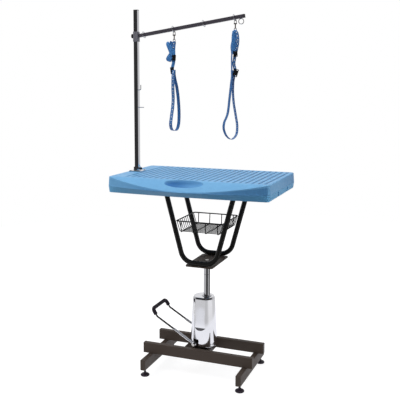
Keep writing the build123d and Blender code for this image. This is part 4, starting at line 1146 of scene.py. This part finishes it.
def build_floor():
    material = floor_paper()
    bm = bmesh.new()
    bmesh.ops.create_circle(bm, cap_ends=True, radius=4.2, segments=96)
    mesh = bpy.data.meshes.new("studio_floor")
    bm.to_mesh(mesh)
    bm.free()
    mesh.materials.append(material)
    floor = link_object("studio_floor", mesh)
    floor.location = (AXIS.x, AXIS.y + 0.6, -0.0008)


def build_world():
    world = bpy.data.worlds.new("studio")
    bpy.context.scene.world = world
    world.use_nodes = True
    m = Nodes(world.node_tree)
    m.tree.nodes.clear()
    output = m.add("ShaderNodeOutputWorld")
    rays = m.add("ShaderNodeLightPath").outputs
    direction = m.split(m.add("ShaderNodeTexCoord").outputs["Generated"])
    height = direction["Z"]
    angle = azimuth(m, direction["X"], direction["Y"])

    overhead = m.remap(height, start=0.66, end=0.86)
    room = around_ramp(m, angle, ROOM_LOW)
    high = around_ramp(m, angle, ROOM_HIGH)
    high = m.mix(m.remap(height, start=0.50, end=0.58), high, (0.16, 0.16, 0.17, 1))
    room = m.mix(m.remap(height, start=0.24, end=0.34), room, high)
    glossy = m.source("ShaderNodeBackground", m.mix(overhead, room, (0.88, 0.89, 0.92, 1)))

    # everything else is lit strongly from above, weakly from the front and below
    soft = around_ramp(m, angle, SOFT_LOW)
    soft = m.mix(m.remap(height, start=0.0, end=0.85), soft, (1.12, 1.12, 1.14, 1))
    diffuse = m.source("ShaderNodeBackground", soft, strength=0.62)
    white = m.source("ShaderNodeBackground", (1, 1, 1, 1))
    shader = m.mix_shader(rays["Is Glossy Ray"], diffuse, glossy)
    shader = m.mix_shader(rays["Is Camera Ray"], shader, white)
    m.link(shader, output.inputs["Surface"])


build_floor()
build_world()

# ------------------------------------------------------------------ lights and camera, metres
# name, place, target, size, watts, spread in degrees or None
LIGHTS = (
    ("key_left", (-3.0, -1.6, 3.2), (0, 0, 1.0), 1.8, 40, None),
    ("fill_front", (1.0, -3.8, 2.4), (0, 0, 0.9), 2.4, 3.5, None),
    ("right_soft", (3.4, -0.2, 2.2), (0.3, 0, 1.15), 1.2, 1.5, 40),
    ("above", (0.0, -0.6, 3.6), (0, 0, 1.0), 1.8, 14, None),
)


def area_light(name, place, target, size, energy, spread):
    place, target = Vector(place) + AXIS, Vector(target) + AXIS
    light = bpy.data.lights.new(name, "AREA")
    light.shape = "RECTANGLE"
    light.size = light.size_y = size
    light.energy = energy
    if spread:
        light.spread = math.radians(spread)
    obj = link_object(name, light)
    obj.location = place
    obj.rotation_mode = "QUATERNION"
    obj.rotation_quaternion = (target - place).to_track_quat("-Z", "Y")
    obj.visible_camera = False
    obj.visible_glossy = False


def build_camera():
    yaw, pitch, roll = -0.365, 0.122, 0.003     # radians; yaw from +Y towards +X, pitch down
    data = bpy.data.cameras.new("camera")
    camera = link_object("camera", data)
    data.sensor_width = 36.0
    data.lens = 59.5602
    data.shift_x = -0.001275
    data.shift_y = -0.0797275
    data.clip_end = 60
    ahead = Vector((math.sin(yaw) * math.cos(pitch), math.cos(yaw) * math.cos(pitch),
                    -math.sin(pitch)))
    level = Vector((math.cos(yaw), -math.sin(yaw), 0))
    upright = level.cross(ahead)
    right = level * math.cos(roll) + upright * math.sin(roll)
    up = upright * math.cos(roll) - level * math.sin(roll)
    camera.matrix_world = Matrix((
        (right.x, up.x, -ahead.x, CAMERA[0] + AXIS.x),
        (right.y, up.y, -ahead.y, CAMERA[1] + AXIS.y),
        (right.z, up.z, -ahead.z, CAMERA[2]),
        (0, 0, 0, 1)))
    bpy.context.scene.camera = camera


for row in LIGHTS:
    area_light(*row)
build_camera()
bpy.context.scene.view_settings.view_transform = "Standard"
bpy.context.scene.view_settings.look = "None"

bpy.context.view_layer.update()
